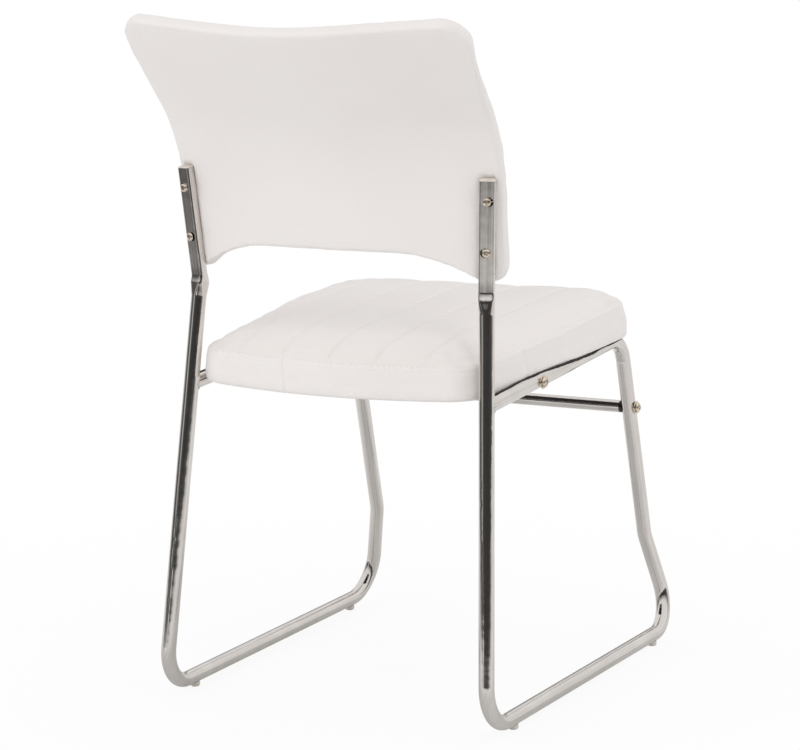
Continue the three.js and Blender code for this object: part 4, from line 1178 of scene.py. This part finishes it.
def cornerDraw(place, half, radius):
    over = np.clip(np.abs(place) - (half - radius), 0, radius)
    return radius - np.sqrt(np.maximum(0, radius ** 2 - over ** 2))


def channels(h, plan, half):
    # the height of the sewn channels, with how far the nearest seam is and which one
    phase = np.abs(h) * plan["panels"] / 2
    toSeam = np.abs(phase - np.round(phase)) * 2 / plan["panels"] * half
    onSeam = np.round(phase) < plan["panels"] / 2
    groove = plan["groove"] * np.exp(-(toSeam / plan["grooveWidth"]) ** 2) * onSeam
    return plan["puff"] * np.abs(np.sin(math.pi * phase)) ** 0.55 - groove, toSeam, onSeam, np.round(phase)


seatPlan = {
    "rearOverhang": 34, "frontOverhang": 20.5,
    "rearSideInset": 6, "frontSideOverhang": 19,
    "rearBow": 32, "frontBow": 12, "corner": 40,
    "sideHeight": 44, "lip": 5, "crown": 17,
    "puff": 1.5, "groove": 1.1, "grooveWidth": 2.6,
    "cornerLift": 6, "sideLift": 4, "frontDrop": 1.2,       # a fuller front corner and a fuller far side
    "panels": 6, "channelHalf": 210,
    "pucker": 0.3, "puckerSize": 17.0, "puckerReach": 9, "gather": 0.3, "gatherLength": 14,
    "borderHalf": 205, "borderReach": 232, "clearAbove": 380,
    "bead": 0.6, "beadLength": 8.2,
    "rearJoin": 0.28, "sideJoin": 0.525, "joinDepth": 1.3,      # skirt joins, as places across and along
    "rows": 130, "innerColumns": 108, "cornerColumns": 12,
    "voxel": 6.0, "quality": 5, "stiffness": 12.0, "bending": 1.2, "pressure": 3.0, "shrink": -0.01, "cap": 4.0,
}


def seatLength():
    return seatAxes()[3] + seatPlan["rearOverhang"] + seatPlan["frontOverhang"]


def seatPlane(h, v, inset):
    s = seatPlan
    length = seatLength()
    share = (v + 1) / 2
    rearHalf, frontHalf = railHalf(0) - s["rearSideInset"], railHalf(1) + s["frontSideOverhang"]
    half = between(rearHalf, frontHalf, share)
    draw = cornerDraw(h * half, half, s["corner"])
    rear = s["rearBow"] * h * h + draw
    front = length - s["frontBow"] * h * h - draw
    forward = between(rear, front, share)
    middle = length / 2
    x = h * half * (1 - inset / rearHalf)
    forward = middle + (forward - middle) * (1 - inset / middle)
    return x, -(forward - s["rearOverhang"])


def seatTop(h, v):
    s = seatPlan
    dome = (1 - np.abs(h) ** 6) * (1 - np.where(v > 0, np.abs(v) ** 7, np.abs(v) ** 4))
    channel, toSeam, onSeam, seam = channels(h, s, s["channelHalf"])
    reach = np.clip(dome * 5, 0, 1)
    forward = (v + 1) / 2 * seatLength()
    corner = s["cornerLift"] * np.clip(-h * 1.3, 0, 1) ** 2 * np.clip(v, 0, 1) ** 1.5
    farSide = s["sideLift"] * np.clip(h * 1.3, 0, 1) ** 2 * np.exp(-((v - 0.08) / 0.42) ** 2)
    lift = corner + farSide - s["frontDrop"] * np.clip(v, 0, 1) ** 3
    gather = s["gather"] * np.sin(math.tau * forward / s["gatherLength"] + 5 * seam + 2 * np.sign(h))
    gather = gather * np.exp(-(toSeam / 8) ** 2) * onSeam
    quilt = (channel + gather) * reach
    return s["sideHeight"] - s["lip"] + s["crown"] * dome + quilt + lift


def seatRow(h, v, inset, below=0.0):
    return fromSeat(*seatPlane(h, v, inset), seatTop(h, v) - below)


def seatFace(h, v, side):
    if side == 0:
        return fromSeat(*seatPlane(h, v, 12.0), np.full_like(h, 1.6))
    return seatRow(h, v, 7.0)


def seatRings(h, v):
    border = seatTop(h, v)
    lip = -seatPlan["lip"]
    profile = [(11.8, 0.6), (11.0, lip + 2.6), (9.0, lip + 0.6), (6.0, lip), (3.2, lip + 0.2), (1.4, lip + 1.4),
               (0.5, lip + 3.4)]
    rings = [(inset, np.full_like(border, level)) for inset, level in profile]
    rise = border - lip
    swelling = ((0.16, -0.1), (0.26, -0.7), (0.38, -1.2), (0.5, -1.4), (0.62, -1.2), (0.74, -0.6), (0.83, 0.2))
    rings += [(inset, lip + rise * share) for share, inset in swelling]
    # the border seam lies in a groove along the rear and is almost flush at the sides
    atRear = np.clip((-0.86 - v) / 0.12, 0, 1)
    for below, grooved, flush in ((4.8, 0.9, 0.5), (3.5, 1.6, 1.0), (2.9, 2.6, 1.4), (2.6, 3.0, 1.7),
                                  (1.9, 3.4, 2.4), (1.0, 4.3, 3.8), (0.4, 5.4, 5.3)):
        rings.append((between(flush, grooved, atRear), border - below))
    return [fromSeat(*seatPlane(h, v, inset), z) for inset, z in rings]


def clearOfRails(points):
    # lifts what would sink into a rail, with a little room
    origin, rearward, upward, length = seatAxes()
    local = points - origin
    y, z = local @ rearward, local @ upward
    half = railHalf(np.clip(-y / length, 0, 1.05))
    room = frameTube["radius"] + 0.5
    across = np.abs(points[:, 0]) - half
    skin = np.sqrt(np.maximum(0, room ** 2 - across ** 2)) - frameTube["radius"]
    over = (np.abs(across) < room) & (-y > -9) & (-y < length + 6) & (z < 20)
    lift = np.where(over, np.maximum(0, skin - z), 0)
    return points + lift[:, None] * upward


def clearOfUprights(points, lowest):
    # pushes forward what would sink into an upright
    moved = points.copy()
    for _, sign in sides:
        corners = framePoints(sign)
        for first, second, pressed in (("top", "kink", True), ("kink", "rearCorner", False)):
            a, b = corners[first], corners[second]
            run = unit(b - a)
            local = moved - a
            along = local @ run
            within = (along > (-20 if pressed else 0)) & (along < np.linalg.norm(b - a)) & (moved[:, 2] > lowest)
            if pressed:
                _, width, rearward = uprightAxes(sign)
                wide, deep = frameTube["flatWidth"] / 2, frameTube["flatDepth"] / 2
            else:
                rearward = unit(np.array([0, 1.0, 0]) - run * run[1])
                width = np.cross(run, rearward)
                wide = deep = frameTube["radius"]
            across = np.abs(local @ width)
            ahead = -(local @ rearward)
            edge = np.clip((across - wide + 3) / 10, 0, 1)
            need = (deep + 0.5) - (deep + 7) * edge ** 1.5
            if pressed:           # room for the plug above the tube's end, then none
                need = need - (deep + 8) * np.clip((-along - 4.0) / 8, 0, 1)
            push = np.where(within & (across < wide + 9), np.maximum(0, need - ahead), 0)
            push = np.where(ahead > -deep - 14, push, 0)
            moved -= push[:, None] * rearward
    return moved


def puckered(points, centre, amount, size):
    # faint folds, strongest where the weight is high
    moved = points.copy()
    for i, p in enumerate(points):
        if amount[i] > 0:
            n = noise.noise(Vector(p) / size) + 0.5 * noise.noise(Vector(p) / size * 2.1)
            moved[i] += unit(p - centre) * n * amount[i]
    return moved


def sewnBorder(points):
    # the border seam's beading and the two joins in the skirt below it
    s = seatPlan
    origin, rearward, upward, _ = seatAxes()
    local = points - origin
    x, y, z = local[:, 0], local @ rearward, local @ upward
    middle = s["rearOverhang"] - seatLength() / 2
    outward = np.stack([x / s["borderHalf"], (y - middle) / s["borderReach"]], 1)
    outward = np.sign(outward) * np.abs(outward) ** 7
    outward /= np.maximum(np.linalg.norm(outward, axis=1), 1e-6)[:, None]
    border = s["sideHeight"] - s["lip"]
    onSeam = np.exp(-((z - border + 3) / 3.2) ** 2)
    atRearEdge = np.clip((y + 22) / 24, 0.15, 1)
    wave = s["bead"] * np.sin(math.tau * (x + y) / s["beadLength"]) * onSeam * atRearEdge
    x0, y0 = seatPlane(np.array(s["rearJoin"]), np.array(-1.0), 0.0)
    x1, y1 = seatPlane(np.array(-1.0), np.array(-s["sideJoin"]), 0.0)
    slant = (z - 15) * 0.12
    atRear = np.exp(-((x - x0 - slant) / 0.9) ** 2) * (y > y0 - 25)
    atSide = np.exp(-((y - y1 - slant) / 1.6) ** 2) * (x < x1 + 25)
    join = s["joinDepth"] * (atRear + atSide) * ((z > -6) & (z < border - 3))
    shift = (wave - join)[:, None] * (outward[:, :1] * np.array([1.0, 0, 0]) + outward[:, 1:] * rearward)
    return points + shift


def addSeat():
    s = seatPlan
    columns = spreadColumns(railHalf(0) - s["rearSideInset"], s["corner"], s["innerColumns"], s["cornerColumns"])
    rows = np.sin(np.linspace(-1, 1, s["rows"]) * math.pi / 2 * 0.8) / math.sin(math.pi / 2 * 0.8)
    piece = panelPiece("seatCushion", columns, rows, seatFace, seatRings)
    origin, _, upward, _ = seatAxes()
    relaxed(piece, s, lambda co: (co - origin) @ upward < 6)
    co = coordinates(piece) / millimetre
    height = (co - origin) @ upward
    border = np.exp(-((height - (s["sideHeight"] - s["lip"] - 2)) / s["puckerReach"]) ** 2)
    centre = co.mean(0)
    co = sewnBorder(puckered(co, centre, border * s["pucker"], s["puckerSize"]))
    co = clearOfUprights(clearOfRails(co), s["clearAbove"])
    setCoordinates(piece, co * millimetre)
    finishPiece(piece, leatherette, "cover", "seat_cushion")
    return piece


seatPiece = addSeat()
print("seat cushion upholstered")


backPlan = {
    "sideOverhang": 16, "topSpread": 13.5, "topSway": -3.2, "wrap": 45,
    "flareDrop": 30, "flareRadius": 200, "flareAngle": 35,
    "topShare": 1.657, "archShare": 0.656, "earShare": 0.536,
    "topRise": 11.5, "topSwoop": 2.7, "archFlat": 90, "earReach": 0.77,
    "topCorner": 37, "ear": 24,
    "thickness": 36, "edge": 20,
    "puff": 1.6, "groove": 1.3, "grooveWidth": 1.8, "panels": 6, "channelHalf": 225,
    "pucker": 0.3, "puckerSize": 22.0, "rimFrom": 190, "rimFade": 30,
    "fold": 1.5, "foldSize": 9.0, "foldHalf": 205, "foldRise": 8, "foldWide": 17, "foldTall": 15,
    "clearAbove": 480,
    "hollow": 1.1, "hollowReach": 13, "hollowSize": 12,         # beside each screw
    "rows": 104, "innerColumns": 70, "cornerColumns": 12,
    "voxel": 6.0, "quality": 5, "stiffness": 14.0, "bending": 1.5, "pressure": 2.4, "shrink": -0.005, "cap": 3.0,
}


def backFacts():
    b, t = backPlan, frameTube
    down, _, _ = uprightAxes(1)
    start = framePoints(1)["top"] + down * b["flareDrop"]
    lean = math.atan2(-down[1], -down[2])
    lowerHalf = t["top"][0] + b["sideOverhang"]
    contact = t["top"][0] / lowerHalf
    forward = originY - start[1] + t["flatDepth"] / 2 + seated + b["wrap"] * (1 - contact ** 2)
    return start[2], lean, lowerHalf, forward


def backProfile(rise):
    startHeight, lean, _, edgeForward = backFacts()
    radius, limit = backPlan["flareRadius"], math.radians(backPlan["flareAngle"])
    tilt = lean + np.clip(rise / radius, 0, limit)
    below, above = np.minimum(rise, 0), np.maximum(rise - radius * limit, 0)
    forward = edgeForward - radius * (math.cos(lean) - np.cos(tilt)) - below * math.sin(lean) - above * np.sin(tilt)
    height = startHeight + radius * (np.sin(tilt) - math.sin(lean)) + below * math.cos(lean) + above * np.cos(tilt)
    return forward, height, tilt


def riseTo(height):
    startHeight, lean, _, _ = backFacts()
    radius, limit = backPlan["flareRadius"], math.radians(backPlan["flareAngle"])
    over = height - startHeight
    if over < 0:
        return over / math.cos(lean)
    turn = math.asin(min(1, math.sin(lean) + over / radius)) - lean
    if turn < limit:
        return turn * radius
    _, arcTop, tilt = backProfile(np.array(radius * limit))
    return radius * limit + (height - float(arcTop)) / math.cos(float(tilt))


backFoot = riseTo(heightAt(backPlan["earShare"]))
backHead = riseTo(heightAt(backPlan["topShare"]))
backArch = riseTo(heightAt(backPlan["archShare"]))


def backPlane(h, v, inset):
    b = backPlan
    _, lean, lowerHalf, _ = backFacts()
    upperHalf = lowerHalf + b["topSpread"]
    run = np.clip((np.abs(h) * lowerHalf - b["archFlat"]) / (lowerHalf - b["archFlat"]), 0, None)
    ease = np.minimum(1, run / b["earReach"]) ** 2
    bottom = backArch - (backArch - backFoot) * ease + cornerDraw(h * lowerHalf, lowerHalf, b["ear"])
    crest = b["topRise"] * (1 - (1 - h * h) ** b["topSwoop"]) / math.cos(lean + math.radians(b["flareAngle"]))
    top = backHead + crest - cornerDraw(h * upperHalf, upperHalf, b["topCorner"])
    share = (v + 1) / 2
    rise = between(bottom, top, share)
    middle = (backHead + backArch) / 2
    span = (backHead - backArch) / 2
    part = (rise - backFoot) / (backHead - backFoot)
    half = between(lowerHalf, upperHalf, np.clip(part, 0, None) ** 3)
    x = h * half * (1 - inset / lowerHalf) + b["topSway"] * np.clip(part, 0, None) ** 3
    rise = middle + (rise - middle) * (1 - inset / span)
    return x, rise


def backSpace(x, rise, depth):
    forward, height, tilt = backProfile(rise)
    _, _, lowerHalf, _ = backFacts()
    share = x / lowerHalf
    lateral = np.arctan(2 * backPlan["wrap"] * share / lowerHalf)
    middle = forward - backPlan["wrap"] * (1 - share ** 2)
    return np.stack([x - depth * np.sin(lateral),
                     originY - (middle + depth * np.cos(tilt) * np.cos(lateral)),
                     height + depth * np.sin(tilt) * np.cos(lateral)], -1)


def backThick(h, v):
    b = backPlan
    fullness = np.maximum(0, (1 - np.abs(h) ** 3) * (1 - np.abs(v) ** 3))
    channel = channels(h, b, b["channelHalf"])[0]
    reach = np.clip(fullness * 4, 0, 1)
    return b["edge"] + (b["thickness"] - b["edge"] - b["puff"]) * np.sqrt(fullness) + channel * reach


def backRow(h, v, inset):
    return backSpace(*backPlane(h, v, inset), backThick(h, v))


def backFace(h, v, side):
    if side == 0:
        swell = 0.9 * (1 - np.abs(h) ** 8) * (1 - np.abs(v) ** 8)
        return backSpace(*backPlane(h, v, 11.0), 0.3 - swell)
    return backRow(h, v, 8.0)


def backRings(h, v):
    front = backThick(h, v)
    rings = []
    # rear panel, its seam a little inside the outline, the edge roll, then the front seam
    for inset, depth in ((9.0, 0.3), (7.0, 0.34), (5.6, 0.42), (4.6, 0.62), (4.1, 0.94), (3.7, 0.98), (3.0, 1.5),
                         (2.1, 2.5), (1.2, 4.0), (0.5, 6.0), (0.1, 8.2), (0.0, 10.4)):
        rings.append((inset, np.full_like(front, depth)))
    for inset, below in ((0.4, 4.6), (1.2, 3.0), (2.4, 1.9), (3.2, 2.1), (3.8, 1.5), (4.8, 0.6), (6.4, 0.15)):
        rings.append((inset, front - below))
    return [backSpace(*backPlane(h, v, inset), depth) for inset, depth in rings]


def hollowedByScrews(points, weight):
    # the screws draw the cover in a little beside each flat
    moved = points.copy()
    for _, sign in sides:
        for _, axis, inward, rearward in screwSpots(sign):
            away = points - (axis + inward * backPlan["hollowReach"])
            away = away - (away @ rearward)[:, None] * rearward
            size = np.linalg.norm(away, axis=1) / backPlan["hollowSize"]
            depth = backPlan["hollow"] * np.exp(-size ** 2) * weight
            moved -= depth[:, None] * rearward
    return moved


def addBack():
    b = backPlan
    _, _, lowerHalf, _ = backFacts()
    columns = spreadColumns(lowerHalf, b["topCorner"], b["innerColumns"], b["cornerColumns"])
    rows = np.linspace(-1, 1, b["rows"])
    piece = panelPiece("backCushion", columns, rows, backFace, backRings)
    rearFace = treeOf(coordinates(piece)[:len(columns) * len(rows)])
    onRear = np.array([rearFace.find(p)[2] for p in coordinates(piece)]) / millimetre
    relaxed(piece, b, lambda co: np.array([rearFace.find(p * millimetre)[2] < 0.005 for p in co]))
    co = coordinates(piece) / millimetre
    centre = co.mean(0)
    rim = np.clip((np.abs(co[:, 0]) - b["rimFrom"]) / b["rimFade"], 0, 1)
    co = puckered(co, centre, 0.15 + rim * b["pucker"], b["puckerSize"])
    across = (np.abs(co[:, 0]) - b["foldHalf"]) / b["foldWide"]
    above = (co[:, 2] - co[:, 2].min() - b["foldRise"]) / b["foldTall"]
    co = puckered(co, centre, np.exp(-across ** 2 - above ** 2) * b["fold"], b["foldSize"])
    co = hollowedByScrews(co, np.exp(-(onRear / 4) ** 2))
    co = clearOfUprights(co, b["clearAbove"])
    setCoordinates(piece, co * millimetre)
    finishPiece(piece, leatherette, "cover", "back_cushion")
    return piece


backPiece = addBack()
print("back cushion upholstered")


stitchPlan = {"length": 3.0, "thickness": 0.36, "pitch": 4.2, "sunk": 0.08}


def stitchRecipe():
    # short threads along a line, each lying in the line's direction
    r = Recipe("stitchesAlongLine", [("Pitch", "Float", 0.004), ("Length", "Float", 0.003),
                                     ("Thickness", "Float", 0.0006), ("Material", "Material", None)])
    line = r.node("GeometryNodeMeshToCurve", None, {0: r.given("Geometry")})
    spaced = r.node("GeometryNodeResampleCurve", {"mode": "LENGTH"}, {"Curve": line, "Length": r.given("Pitch")})
    tangent = r.node("GeometryNodeInputTangent")
    facing = r.node("FunctionNodeAlignRotationToVector", {"axis": "X"}, {"Vector": tangent})
    bead = r.node("GeometryNodeMeshUVSphere", None, {"Segments": 6, "Rings": 5, "Radius": 0.5})
    size = r.node("ShaderNodeCombineXYZ", None,
                  {"X": r.given("Length"), "Y": r.given("Thickness"), "Z": r.given("Thickness")})
    copies = r.node("GeometryNodeInstanceOnPoints", None,
                    {"Points": spaced, "Instance": bead, "Rotation": facing, "Scale": size})
    whole = r.node("GeometryNodeRealizeInstances", None, {0: copies})
    smooth = r.node("GeometryNodeSetShadeSmooth", None, {"Geometry": whole, "Shade Smooth": True})
    return r.finish(smooth, r.given("Material"))


stitchTree = stitchRecipe()


def surfaceOf(obj):
    return BVHTree.FromPolygons([v.co for v in obj.data.vertices], [p.vertices for p in obj.data.polygons])


def laidOn(tree, points, sunk):
    laid = []
    for p in points:
        place, normal, _, _ = tree.find_nearest(Vector(p) * millimetre)
        laid.append(np.array(place - normal * sunk * millimetre) / millimetre)
    return np.array(laid)


def sew(name, lines, cover):
    tree = surfaceOf(cover)
    parts = []
    for points, closed in lines:
        source = polyline("threadLine", laidOn(tree, points, stitchPlan["sunk"]), closed)
        parts.append(stitchTree.run(source, "thread", {
            "Pitch": stitchPlan["pitch"] * millimetre, "Length": stitchPlan["length"] * millimetre,
            "Thickness": stitchPlan["thickness"] * 2 * millimetre, "Material": thread}))
    piece = joined(name, parts)
    piece.data.shade_smooth()
    finishPiece(piece, thread, "cover")


def loopAround(count):
    # a walk round the edge of a unit panel
    t = np.linspace(-1, 1, count)
    h = np.concatenate([t, np.ones(count), -t, -np.ones(count)])
    v = np.concatenate([-np.ones(count), t, np.ones(count), -t])
    keep = np.ones(len(h), bool)
    keep[count - 1::count] = False
    return h[keep], v[keep]


def channelRows(panels, row, reach, count, inset):
    # a thread along each seam between two channels
    run = np.linspace(-reach, reach, count)
    half = panels // 2
    return [(row(np.full_like(run, k / half), run, inset), False) for k in range(-half + 1, half)]


def addStitches():
    h, v = loopAround(220)
    borders = [(seatRow(h, v, 7.2), True), (seatRow(h, v, 0.4, 6.2), True)]
    sew("seatStitches", borders + channelRows(seatPlan["panels"], seatRow, 0.93, 160, 7.0), seatPiece)
    borders = [(backSpace(*backPlane(h, v, 5.6), np.zeros_like(h)), True), (backRow(h, v, 6.2), True)]
    sew("backStitches", borders + channelRows(backPlan["panels"], backRow, 0.9, 130, 8.0), backPiece)


addStitches()
print("stitches sewn")


# the dust cover's edge comes out between the cushion and the rails; its black strip also paints the shadow in the gap
# there
edgePlan = {
    "from": 0.015, "to": 1.0, "steps": 190,         # shares of the rail's length
    "least": 4, "most": 99, "hidden": 16,           # degrees round the rail
    "beyond": 0.75, "wave": 0.8, "waveLength": 42, "thickness": 0.5, "gap": 2.3,
}


def addClothEdgesWithGapShade():
    p = edgePlan
    tree = surfaceOf(seatPiece)
    radius = frameTube["radius"]
    upward = seatAxes()[2]
    parts = []
    for _, sign in sides:
        points = framePoints(sign)
        low, run = points["railEnd"], points["railFront"] - points["railEnd"]
        length = np.linalg.norm(run)
        run = run / length
        up = unit(upward - run * (upward @ run))
        out = np.cross(run, up)
        out = out if out[0] * sign > 0 else -out
        places = np.linspace(p["from"], p["to"], p["steps"]) * length

        def spotAt(along, angle, rise):
            return low + run * along + (up * math.cos(angle) + out * math.sin(angle)) * (radius + rise)

        turns = []
        for along in places:
            turn = p["least"]
            for degrees in range(p["least"], p["most"] + 1):
                skin = spotAt(along, math.radians(degrees), 0.6)
                if tree.find_nearest(Vector(skin) * millimetre)[3] < p["gap"] * millimetre:
                    turn = degrees
            turns.append(turn)
        turns = np.convolve(np.pad(turns, 6, "edge"), np.ones(13) / 13, "valid")
        rings = []
        for along, turn in zip(places, turns):
            wave = noise.noise(Vector((along / p["waveLength"], sign * 3.1, 0.4)))
            wave += 0.3 * noise.noise(Vector((along / 8, 0, 0)))
            full = p["beyond"] * (0.2 + 1.1 * along / length) + p["wave"] * max(-0.7, min(1.0, wave * 1.8))
            brim = math.radians(turn) + full / radius
            tucked = math.radians(turn - p["hidden"])
            lifted = 0.1 + 0.3 * full
            ring = [(tucked, 0.05), (brim, 0.05 + lifted), (brim + 0.03, 0.3 + lifted),
                    (brim, p["thickness"] + lifted), (tucked, p["thickness"])]
            rings.append([spotAt(along, angle, rise) for angle, rise in ring])
        count = len(rings[0])
        parts.append(outwards(meshFrom("clothEdge", np.concatenate(rings), loftFaces(len(rings), count), 50)))
    # black cloth, partly the real dust cover's edge and partly painted shadow in the gap
    piece = joined("dustCoverEdges", parts)
    piece.data.shade_smooth()
    finishPiece(piece, blackCloth, "dust_cover")


addClothEdgesWithGapShade()
print("dust cover edges tucked in")


def dress(prefix, look):
    for name, node in nodes.items():
        if name.startswith(prefix):
            node.data.materials.clear()
            node.data.materials.append(look)


for prefix, look in (("seat_board", plywood), ("back_board", plywood), ("seat_dust_cover", blackCloth),
                     ("seat_tee_nut", zinc), ("back_tee_nut", zinc), ("bar_insert", darkSteel)):
    dress(prefix, look)

print("dressed")
